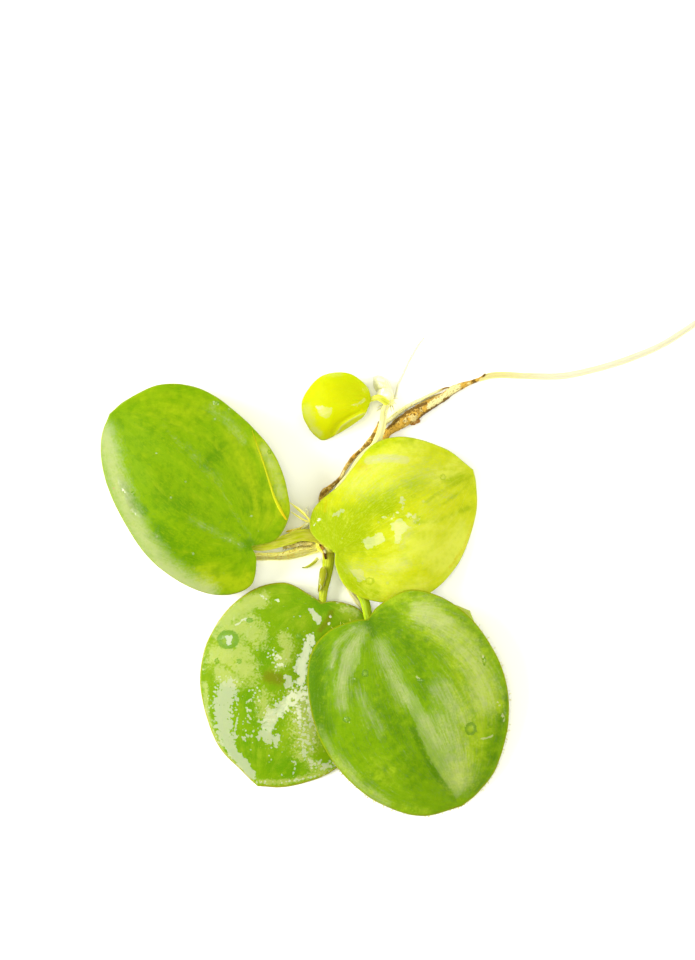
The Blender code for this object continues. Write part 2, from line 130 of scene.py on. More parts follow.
# Each blade: plan and height of its upper face, the same as the solid's. Right and left are seen
# from base to tip.
LEAVES = {
    "leaf_left": {
        "base": (-9.1, 0.2, 4.7),
        "tip": (-26.9, 16.8, 1.2),
        "right": [
            (-6.2, 1.0, 4.9), (-4.7, 3.2, 5.2), (-4.4, 6.0, 5.6), (-6.2, 11.6, 5.9),
            (-10.6, 16.6, 5.3), (-15.6, 19.9, 3.9), (-20.5, 20.4, 2.6), (-24.8, 18.5, 1.6),
        ],
        "left": [
            (-8.5, -1.5, 4.5), (-9.2, -4.6, 3.2), (-12.5, -5.9, 1.6), (-16.9, -4.9, 0.8),
            (-21.9, -1.4, 0.35), (-25.6, 4.1, 0.26), (-27.6, 9.0, 0.26), (-28.0, 13.5, 0.6),
        ],
        "middle": (-16.5, 7.5, 5.3),
        "groove": 0.3,
        "groove_width": 1.6,
        "thickness": 1.2,
    },
    "leaf_centre": {
        "base": (1.3, -0.4, 5.4),
        "tip": (18.5, 9.8, 1.2),
        "right": [
            (1.3, -2.1, 5.1), (2.5, -4.7, 4.8), (4.8, -6.2, 4.4), (8.8, -6.8, 4.1),
            (13.2, -5.5, 3.2), (16.9, -1.5, 1.4), (18.85, 4.1, 0.24), (18.9, 7.9, 0.5),
        ],
        "left": [
            (-0.2, 0.4, 4.9), (-1.8, 2.2, 4.1), (-1.6, 4.5, 3.8), (-0.5, 6.0, 3.7),
            (1.8, 7.9, 3.6), (3.7, 10.3, 3.65), (6.1, 13.0, 3.8), (9.8, 13.9, 3.8),
            (15.0, 12.4, 2.4),
        ],
        "middle": (9.2, 4.2, 6.1),
        "groove": 0.25,
        "groove_width": 1.6,
        "thickness": 1.1,
    },
    "leaf_lower_left": {
        "base": (-0.4, -6.8, 1.9),
        "tip": (-8.4, -29.8, 0.36),
        "right": [
            (-1.9, -5.8, 1.8), (-5.0, -4.3, 1.6), (-8.8, -5.1, 1.4), (-12.5, -8.0, 1.1),
            (-15.1, -12.8, 0.8), (-15.5, -18.0, 0.5), (-13.6, -24.3, 0.36), (-10.2, -28.1, 0.36),
        ],
        "left": [
            (1.3, -6.6, 1.9), (3.8, -7.3, 1.8), (5.1, -8.9, 1.7), (5.4, -13.0, 1.5),
            (5.2, -19.0, 1.1), (3.8, -24.8, 0.8), (0.6, -28.1, 0.5), (-4.4, -29.8, 0.36),
        ],
        "middle": (-5.2, -16.5, 2.1),
        "groove": 0.15,
        "groove_width": 1.6,
        "thickness": 1.1,
    },
    "leaf_lower_right": {
        "base": (5.3, -8.8, 5.0),
        "tip": (17.1, -32.3, 0.28),
        "right": [
            (3.4, -9.0, 4.9), (0.4, -10.3, 4.5), (-1.8, -13.2, 4.1), (-2.1, -17.6, 3.7),
            (-0.9, -23.1, 3.0), (1.9, -27.8, 2.0), (6.3, -31.6, 1.1), (11.9, -33.5, 0.5),
        ],
        "left": [
            (6.9, -6.9, 5.4), (10.7, -5.1, 5.6), (15.2, -6.4, 5.2), (19.2, -9.9, 4.5),
            (22.3, -15.6, 3.4), (22.9, -21.5, 2.4), (21.4, -27.4, 1.4), (19.2, -30.5, 0.7),
        ],
        "middle": (10.6, -18.8, 6.0),
        "groove": 0.6,
        "groove_width": 2.6,
        "thickness": 1.2,
    },
    "leaf_young": {
        "base": (9.4, -16.3, 1.5),
        "tip": (18.1, -7.8, 1.5),
        "right": [(11.5, -16.9, 1.2), (14.9, -16.2, 1.0), (18.0, -13.6, 1.1), (18.8, -10.2, 1.4)],
        "left": [(9.2, -14.0, 1.5), (10.1, -10.6, 1.7), (12.7, -7.7, 1.9), (15.7, -7.0, 1.8)],
        "middle": (14.0, -12.0, 2.6),
        "groove": 0.1,
        "groove_width": 1.0,
        "thickness": 0.7,
    },
    "daughter_leaf": {
        "base": (5.8, 18.6, 2.7),
        "tip": (-1.95, 14.8, 0.7),
        "right": [
            (5.2, 20.2, 2.8), (2.9, 21.8, 2.8), (-0.4, 21.5, 2.2), (-2.7, 18.9, 1.3), (-2.8, 16.6, 0.9),
        ],
        "left": [
            (5.4, 17.5, 2.6), (4.6, 16.2, 2.3), (1.9, 14.4, 1.2), (-0.1, 13.45, 0.6), (-1.15, 13.95, 0.6),
        ],
        "middle": (1.4, 17.8, 3.3),
        "thickness": 0.7,
    },
    "daughter_sheath": {
        "base": (7.6, 19.3, 0.9),
        "tip": (6.05, 21.4, 0.6),
        "right": [(8.35, 19.7, 0.8), (8.1, 20.6, 0.7), (7.4, 21.3, 0.6), (6.7, 21.6, 0.6)],
        "left": [(6.7, 19.4, 0.9), (6.2, 19.8, 0.8), (6.0, 20.4, 0.7), (6.0, 20.9, 0.6)],
        "middle": (7.1, 20.4, 1.8),
        "thickness": 0.3,
    },
    "sheath_lower_left": {
        "base": (0.0, -2.3, 2.45),
        "tip": (-0.85, -5.5, 1.85),
        "right": [(0.25, -3.0, 2.5), (0.1, -3.8, 2.5), (-0.1, -4.5, 2.45), (-0.5, -5.2, 2.2)],
        "left": [(-0.5, -2.5, 2.1), (-0.66, -3.1, 2.0), (-0.76, -3.9, 1.9), (-0.82, -4.8, 1.8)],
        "middle": (-0.3, -3.9, 2.45),
        "thickness": 0.22,
    },
}
SMALL_LEAVES = ("leaf_young", "daughter_leaf", "daughter_sheath", "sheath_lower_left")

# Where each blade differs from its plain green, as strokes: half width, strength and the route.
# deep and light are greens, brown is decay or a yellow bruise, the sheen strokes are a pale satin sheen
# that is painted on, with a faint real gloss, and the gleam strokes are a wet skin with a real gloss and
# a painted pale reflection. Creases are strokes too, with a height in place of a strength. A pane is a
# patch with straight edges where a window's reflection is painted and the skin is wet and glossy, and a
# drop is a domed wet spot with a painted darker ring: its middle and half sizes. A blade has only the
# kinds that are named for it.
STROKES = {
    "leaf_left": {
        "deep": [
            (0.8, 1.0, [(-9.4, 0.4)]),
            (0.7, 0.6, [(-14.6, 10.4), (-12.8, 12.4)]),
            (1.3, 0.5, [(-20.4, 6.8), (-17.4, 4.3)]),
            (1.0, 0.7, [(-20.7, 2.2), (-18.6, 0.0), (-16.6, -1.4)]),
            (0.6, 0.5, [(-26.4, 16.6), (-25.4, 15.4)]),
            # Painted shade on one side of the fold near the left rim
            (0.5, 1.2, [(-25.1, 7.7), (-24.3, 6.4), (-23.4, 5.0), (-22.6, 4.6)]),
            (1.0, 0.4, [(-9.4, 8.6), (-8.0, 4.4)]),
        ],
        "light": [
            (1.3, 0.95, [(-14.8, -3.6), (-11.8, -4.4), (-9.8, -4.2)]),
            (1.0, 1.3, [(-7.9, 12.9), (-6.3, 10.2), (-5.3, 6.6), (-4.9, 4.6)]),
            (2.0, 0.35, [(-21.6, 18.0), (-15.8, 16.8)]),
            (1.6, 0.5, [(-11.6, 13.6), (-9.4, 10.0), (-8.4, 6.4), (-7.4, 3.6)]),
        ],
        "brown": [(0.16, 1.0, [(-26.4, 7.4)])],
        "painted_sheen": [
            (1.4, 0.8, [
                (-27.6, 14.4), (-26.9, 11.6), (-26.0, 8.5), (-24.6, 4.8), (-22.5, 1.0),
                (-20.1, -2.2), (-17.5, -4.2), (-14.6, -5.4),
            ]),
            (0.9, 1.0, [(-20.8, -2.0), (-17.0, -4.7), (-14.4, -5.8)]),
            (0.8, 0.3, [(-14.2, 17.4), (-11.6, 15.4)]),
            (0.8, 0.35, [(-12.4, 16.2), (-10.2, 13.6)]),
            (0.3, 0.2, [
                (-8.7, 0.2), (-9.8, 2.3), (-11.4, 4.7), (-13.1, 7.9), (-15.4, 11.0), (-17.5, 12.6),
                (-20.2, 15.4),
            ]),
            (0.8, 0.22, [(-17.4, 12.7), (-13.5, 8.6)]),
            (0.55, 0.3, [(-16.6, 3.6), (-13.5, 2.0), (-10.4, 0.4)]),
            (0.7, 0.5, [(-7.6, 12.4), (-6.2, 9.6), (-5.4, 6.6)]),
        ],
        "wet_gleam": [
            (0.1, 0.75, [(-25.5, 8.0), (-24.9, 6.8)]),
            (0.1, 0.8, [(-24.2, 4.8), (-23.5, 4.2)]),
            (0.14, 0.62, [(-12.6, 1.4), (-10.2, 0.3)]),
            (0.2, 0.9, [(-13.7, 18.1), (-13.3, 17.9)]),
        ],
        "creases": [
            (0.35, -0.16, [(-25.3, 8.4), (-24.1, 6.4), (-23.4, 4.7)]),
            (0.3, 0.14, [(-25.9, 8.0), (-25.1, 6.2), (-24.2, 4.4), (-22.9, 3.6)]),
            (0.5, 0.12, [(-9.0, 14.4), (-7.7, 10.4), (-6.7, 7.4), (-5.0, 3.8)]),
        ],
        "drops": [
            (-24.0, 7.0, 0.16, 0.16), (-23.7, 6.7, 0.13, 0.13), (-13.5, 18.1, 0.32, 0.25),
            (-6.9, 12.0, 0.28, 0.32), (-13.0, 3.2, 0.14, 0.14), (-10.6, 1.6, 0.16, 0.16),
        ],
    },
    "leaf_centre": {
        "deep": [
            (2.0, 1.2, [(-0.8, 2.8), (1.6, 1.2), (3.6, 2.0)]),
            (1.6, 0.9, [(1.6, 3.4), (5.0, 4.6), (8.0, 5.8)]),
            (1.0, 0.6, [(6.6, 5.6), (9.4, 7.4), (13.0, 8.6), (17.6, 9.0)]),
            (0.45, 0.5, [(5.6, 12.6), (8.0, 13.2), (10.6, 13.4)]),
            (0.3, 0.6, [(13.6, 6.6), (18.4, 9.2)]),
            (0.2, 0.6, [(12.6, 5.8), (15.4, 7.8)]),
            (0.2, 0.6, [(14.8, 5.6), (17.6, 7.6)]),
            (0.3, 0.6, [(11.2, 3.2), (14.0, 3.4), (17.8, 5.0)]),
            (0.9, 0.9, [(1.8, -1.8), (3.4, -4.8), (6.2, -5.6)]),
        ],
        "light": [
            (1.3, 0.6, [(2.6, 8.2), (5.4, 9.2), (8.2, 11.2), (11.6, 12.4)]),
            (1.0, 0.6, [(14.0, 8.6), (16.6, 10.4)]),
            (1.8, 0.8, [(11.6, 0.4), (14.6, -1.2), (16.8, 1.4)]),
            (1.6, 0.6, [(8.4, -2.4), (13.0, 2.4)]),
            (1.0, 0.6, [(6.0, -4.2), (9.4, -5.4), (12.4, -4.6)]),
        ],
        "brown": [
            (1.0, 0.5, [(3.6, 10.4), (5.2, 10.0)]),
            (0.35, 0.5, [(0.15, 6.0), (0.0, 4.6)]),
            (0.35, 0.5, [(18.6, 3.4), (17.4, 0.2), (15.6, -2.4)]),
        ],
        "painted_sheen": [
            (0.35, 2.2, [(5.4, 10.9), (6.8, 11.2), (8.4, 11.2), (10.0, 11.0)]),
            (2.0, 0.4, [(4.0, 7.4), (9.0, 8.6), (13.0, 9.6)]),
            (1.1, 0.4, [(5.0, 9.6), (8.6, 10.4)]),
            (1.0, 0.45, [(3.4, -2.4), (6.6, -2.6), (10.0, -1.8)]),
            (0.5, 0.5, [(9.6, 0.2), (11.0, 3.4)]),
            (1.2, 0.3, [(12.2, 5.2), (15.4, 6.8)]),
        ],
        "wet_gleam": [
            (0.4, 0.62, [(9.6, 6.2), (9.7, 5.0)]),
            (0.3, 0.6, [(9.0, 4.4), (8.2, 3.9), (7.4, 3.8)]),
            (0.6, 0.5, [(10.4, 4.4), (11.6, 3.4)]),
            (0.26, 0.75, [(1.0, 4.1), (1.7, 4.3), (2.2, 4.7)]),
            (0.12, 0.62, [(-1.6, 2.65), (-1.1, 3.2)]),
            (0.22, 0.6, [(-1.0, 3.3), (-0.6, 3.7)]),
            (0.13, 0.8, [(5.9, 10.9), (7.4, 11.2), (9.4, 11.1)]),
        ],
        "creases": [(0.7, 0.1, [(2.2, 5.8), (4.8, 8.0)])],
        "panes": [
            [(4.56, 1.05), (7.0, 2.07), (7.4, 1.44), (7.33, 0.81), (5.19, -0.13)],
            [(8.25, 3.19), (9.54, 3.8), (10.5, 2.6), (9.54, 1.75), (8.27, 2.25)],
            [(8.7, 2.4), (9.6, 1.9), (9.3, 0.57), (8.67, 0.65)],
            [(2.97, -2.6), (4.75, -2.6), (4.95, -4.0), (4.3, -4.2)],
        ],
        "drops": [
            (5.55, -4.05, 0.66, 0.5), (14.7, 8.85, 0.42, 0.4), (11.0, 6.5, 0.3, 0.22),
            (10.6, 3.8, 0.24, 0.2), (11.6, 3.9, 0.26, 0.2), (11.5, 3.2, 0.18, 0.18),
        ],
    },
    "leaf_lower_left": {
        "deep": [
            (1.0, 1.0, [(-1.2, -6.6), (0.2, -7.6)]),
            (1.9, 0.7, [(-9.6, -25.0), (-7.2, -26.6), (-4.4, -27.0)]),
            (0.9, 0.6, [(-7.2, -11.6), (-7.6, -15.0)]),
            (0.9, 0.7, [(-9.4, -18.6), (-9.0, -21.6)]),
            (0.8, 0.5, [(-5.0, -23.6), (-2.0, -26.0)]),
        ],
        "light": [
            (0.8, 0.5, [(-12.8, -8.6), (-9.4, -6.2), (-5.2, -5.0)]),
            (0.9, 0.7, [(2.2, -7.8), (4.0, -9.4)]),
            (1.6, 0.6, [(-14.0, -12.6), (-12.0, -14.8)]),
            (1.6, 0.35, [(-9.0, -25.6), (-5.0, -24.6), (-3.0, -22.6)]),
            (1.0, 0.4, [(-5.6, -7.6), (-3.0, -9.4)]),
        ],
        "brown": [
            (1.0, 0.75, [(-7.0, -16.0), (-5.8, -16.3)]),
            (0.5, 0.7, [(0.8, -8.0), (0.3, -9.2), (-0.6, -10.2)]),
            (0.14, 1.0, [(-15.2, -13.2)]),
        ],
        "painted_sheen": [
            (0.9, 1.0, [(-12.8, -9.0), (-9.4, -6.8), (-7.8, -6.4)]),
            (1.6, 0.8, [(-12.6, -10.6), (-9.6, -9.4), (-8.6, -11.0)]),
            (1.9, 0.75, [(-13.4, -13.4), (-10.6, -13.2), (-9.8, -15.4)]),
            (1.0, 0.9, [(-13.0, -15.8), (-11.4, -16.6)]),
            (1.0, 0.75, [(-5.2, -11.2), (-4.4, -12.6), (-5.6, -14.4)]),
            (2.2, 0.7, [(-3.4, -19.0), (-2.6, -21.6), (-2.4, -24.0)]),
            (1.2, 0.7, [(-7.8, -18.6), (-7.2, -21.0)]),
            (1.0, 0.6, [(-3.4, -25.4), (-1.0, -27.6), (1.2, -28.2)]),
            (0.35, 0.8, [(-8.8, -29.2), (-4.4, -29.2), (0.0, -28.0)]),
            (0.4, 0.7, [(-15.0, -17.0), (-14.6, -21.6), (-12.8, -25.4), (-10.0, -28.4)]),
            (0.6, 0.7, [(2.4, -7.6), (3.8, -8.2)]),
        ],
        "wet_gleam": [
            (1.5, 0.85, [(-12.2, -17.6), (-12.8, -19.8)]),
            (1.1, 0.95, [(-12.8, -20.6), (-12.6, -22.8), (-12.3, -23.8)]),
            (0.55, 1.3, [(-12.4, -24.0), (-11.4, -25.6), (-10.2, -27.0), (-9.3, -28.3)]),
            (0.8, 0.85, [(-1.9, -11.4), (-2.4, -13.2), (-3.2, -15.0)]),
            (0.7, 0.8, [(-2.6, -14.8), (-3.2, -16.8)]),
            (0.5, 1.0, [(-4.6, -16.2), (-4.6, -17.0)]),
            (1.1, 0.82, [(-3.4, -18.4), (-5.0, -19.4), (-6.4, -20.8)]),
            (1.1, 0.88, [(-6.4, -20.8), (-7.2, -22.2), (-7.4, -23.2), (-6.6, -23.8)]),
            (0.9, 0.72, [(-2.6, -17.8), (-1.7, -19.3), (-1.4, -21.2), (-0.8, -22.6)]),
            (0.35, 0.75, [(-3.2, -20.6), (-3.0, -22.0)]),
            (1.6, 0.5, [(-3.4, -18.4), (-2.6, -21.6), (-2.4, -24.6)]),
            (1.2, 0.42, [(-8.6, -18.0), (-9.6, -21.0), (-9.2, -23.4)]),
            (0.9, 0.5, [(-6.6, -13.0), (-5.6, -14.6)]),
            (0.3, 0.75, [(-5.9, -13.2), (-5.5, -13.8)]),
            (0.16, 0.8, [(-11.1, -9.6), (-10.6, -9.3), (-10.3, -9.0), (-9.7, -8.8)]),
            (0.2, 0.8, [(-7.9, -5.8), (-7.4, -6.4)]),
            (0.18, 0.8, [(-6.2, -6.4), (-5.8, -6.6)]),
            (0.14, 0.9, [(-1.5, -6.2), (-1.1, -5.6)]),
            (0.2, 1.0, [(0.5, -9.4)]),
            (0.22, 1.0, [(0.7, -8.5)]),
            (0.16, 0.8, [(1.5, -6.8), (2.2, -6.7), (2.9, -7.0)]),
            (0.16, 0.75, [(-10.7, -20.6), (-11.1, -21.8), (-11.3, -23.6)]),
            (0.18, 0.75, [(-9.6, -20.8), (-9.2, -21.4)]),
            (0.16, 0.75, [(-10.4, -23.6), (-9.9, -24.0)]),
            (0.5, 0.66, [(-2.9, -24.9), (-2.2, -26.2)]),
            (0.7, 0.6, [(-1.6, -27.0), (0.4, -27.3), (1.4, -26.8)]),
            (0.2, 0.6, [(-7.0, -25.8), (-6.6, -26.4)]),
            (0.2, 0.6, [(-4.2, -26.6), (-3.6, -26.8), (-4.0, -28.2)]),
            (0.3, 0.5, [(-8.8, -29.2), (-4.4, -29.2), (0.0, -28.3)]),
        ],
        "creases": [(0.6, 0.1, [(-12.0, -25.4), (-9.6, -27.0)])],
        "panes": [
            [(-2.2, -7.4), (-1.5, -7.55), (-0.45, -8.5), (-0.55, -9.3), (-0.95, -9.6)],
            [(-12.5, -11.0), (-11.6, -10.9), (-11.7, -11.9), (-12.1, -12.2)],
        ],
        "drops": [
            (-12.1, -11.4, 1.45, 1.25), (-13.5, -14.1, 0.3, 0.4), (-10.7, -14.1, 0.32, 0.36),
            (-9.4, -9.0, 0.5, 0.3), (-3.2, -11.0, 0.5, 0.4),
        ],
    },
    "leaf_lower_right": {
        "deep": [
            (0.5, 1.0, [(5.4, -9.0), (5.9, -10.6)]),
            # Painted shade: darker along the left rim
            (1.5, 0.9, [(-1.4, -13.4), (-1.4, -17.5), (-0.6, -22.0)]),
            (0.9, 0.5, [(2.8, -15.6), (3.6, -18.0)]),
            (1.6, 0.5, [(6.4, -20.0), (8.6, -23.4), (11.0, -26.8)]),
            (1.1, 0.6, [(6.8, -9.8), (9.2, -10.8), (11.6, -14.4), (12.6, -17.4)]),
            # Painted shade on the side of the midrib fold that faces away from the window
            (0.4, 0.8, [(11.0, -22.4), (12.2, -25.4), (13.9, -28.3), (16.2, -31.5)]),
            (0.6, 0.5, [(22.5, -18.4), (22.1, -21.8), (20.9, -26.4), (18.4, -30.2)]),
            (0.3, 0.5, [(9.0, -6.2), (13.0, -6.0), (17.4, -9.0), (20.6, -13.0)]),
        ],
        "light": [
            # Partly paler tissue and partly painted light: the lighter right half
            (2.2, 0.75, [(12.0, -7.6), (16.0, -10.6), (18.8, -14.6), (19.9, -19.0)]),
            (1.6, 0.6, [(19.4, -21.5), (18.0, -26.0), (16.6, -28.6)]),
            (1.8, 0.5, [(16.4, -14.4), (17.8, -18.6), (17.2, -23.0)]),
            (1.2, 0.6, [(7.6, -6.2), (10.4, -5.8)]),
            (1.4, 0.35, [(6.4, -27.0), (7.6, -28.0)]),
            (0.7, 0.3, [(1.6, -26.6), (4.6, -29.9), (8.4, -32.0), (12.4, -32.8)]),
        ],
        "painted_sheen": [
            (1.7, 0.62, [(12.4, -7.8), (16.2, -10.8), (18.8, -14.8), (19.6, -19.0)]),
            (1.7, 0.62, [(14.6, -21.6), (16.2, -25.0), (17.0, -28.6)]),
            (1.5, 0.6, [(14.6, -17.6), (16.8, -20.8)]),
            (1.0, 0.6, [(12.6, -21.4), (14.0, -24.0)]),
            (0.9, 0.62, [(6.9, -12.1), (8.3, -15.4), (9.8, -18.6)]),
            (0.8, 0.62, [(4.6, -10.4), (3.0, -12.8), (2.2, -16.6), (2.2, -19.4)]),
            (0.4, 0.6, [(3.6, -9.9), (1.5, -11.8), (0.9, -14.6)]),
            (0.7, 0.42, [(4.0, -17.6), (5.4, -20.2), (6.9, -22.6)]),
            (0.7, 0.5, [(1.6, -26.2), (4.4, -29.6), (7.6, -31.8)]),
            (0.5, 0.42, [(-0.6, -22.4), (1.2, -25.8)]),
        ],
        "wet_gleam": [
            (0.12, 1.0, [(11.4, -15.9), (12.0, -16.4)]),
            (0.12, 0.9, [(19.2, -23.75), (20.2, -23.6), (21.0, -23.2)]),
            (0.2, 1.0, [(6.3, -7.1), (6.5, -6.8)]),
            (0.1, 0.9, [(19.6, -13.3), (19.9, -14.0), (20.2, -14.6)]),
            (0.12, 0.9, [(21.4, -19.1), (21.8, -19.5)]),
            (0.12, 0.9, [(22.1, -20.6), (22.3, -21.4)]),
            (0.1, 0.9, [(2.4, -21.0), (3.0, -21.6)]),
        ],
        "creases": [
            (0.8, 0.16, [(1.8, -11.2), (1.2, -14.6), (1.4, -18.4)]),
            (0.5, -0.1, [(-0.2, -13.4), (-0.4, -17.6)]),
        ],
        "panes": [
            [(11.3, -22.3), (13.2, -26.6), (16.5, -31.4), (17.6, -29.6), (15.4, -25.0), (12.6, -20.8)],
            [(8.9, -16.6), (10.6, -20.2), (11.8, -22.6), (13.2, -22.0), (11.6, -18.6), (9.8, -16.8)],
            [(10.8, -6.5), (10.4, -8.4), (13.6, -10.0), (16.2, -9.0), (14.0, -7.3), (12.2, -6.4)],
            [(4.4, -10.8), (2.2, -12.6), (1.0, -18.1), (2.4, -17.0), (4.4, -14.0)],
        ],
        "drops": [
            (11.9, -16.4, 0.5, 0.3), (19.8, -14.0, 0.24, 0.6), (18.1, -22.4, 0.8, 0.85),
            (5.0, -15.5, 0.45, 0.5), (2.7, -21.25, 0.5, 0.4),
        ],
    },
    "leaf_young": {
        "deep": [(0.6, 0.6, [(10.0, -13.0), (13.0, -9.0)])],
        "light": [(1.2, 0.6, [(17.4, -8.4)])],
        "painted_sheen": [(1.2, 0.5, [(16.8, -9.0)])],
    },
    "daughter_leaf": {
        "deep": [(1.6, 0.8, [(2.6, 20.9), (5.0, 19.2)])],
        "light": [(0.5, 0.7, [(1.9, 14.3), (3.0, 15.4), (4.8, 16.3)])],
        "painted_sheen": [
            (0.7, 0.6, [(-2.3, 17.4), (-1.8, 15.8)]),
            (0.4, 0.8, [(-1.5, 14.9), (-0.7, 14.3)]),
            (0.45, 0.45, [(-0.4, 21.6), (1.8, 21.8)]),
            (0.09, 1.2, [(1.3, 14.1), (2.1, 15.2), (3.2, 16.0), (4.4, 16.6), (5.3, 16.9)]),
        ],
        "creases": [
            (0.2, 0.16, [(1.3, 14.1), (2.1, 15.2), (3.2, 16.0), (4.4, 16.6), (5.3, 16.9)]),
            (0.2, -0.12, [(1.0, 14.5), (1.8, 15.6), (3.0, 16.4), (4.3, 17.0)]),
        ],
        "panes": [
            [(-1.25, 17.65), (-0.04, 17.75), (0.83, 17.44), (0.83, 16.8), (0.06, 15.9), (-0.9, 17.0)],
            [(3.45, 17.85), (4.6, 18.5), (5.2, 18.65), (4.9, 18.3), (4.1, 17.75)],
        ],
    },
    "daughter_sheath": {
        "painted_sheen": [(0.5, 1.0, [(6.8, 19.7), (7.6, 19.6)])],
        "wet_gleam": [(0.3, 1.0, [(6.6, 19.5), (7.6, 19.4)]), (0.2, 0.9, [(6.6, 21.1), (7.3, 20.9)])],
    },
    "sheath_lower_left": {
        "brown": [(0.12, 1.0, [(-0.74, -2.8), (-0.82, -5.2)])],
        "wet_gleam": [
            (0.05, 0.55, [(-0.6, -3.6), (-0.45, -3.9), (-0.6, -4.3), (-0.42, -4.7), (-0.6, -5.2)]),
            (0.05, 0.5, [(0.2, -3.1), (0.05, -4.1), (-0.35, -5.1)]),
        ],
    },
}

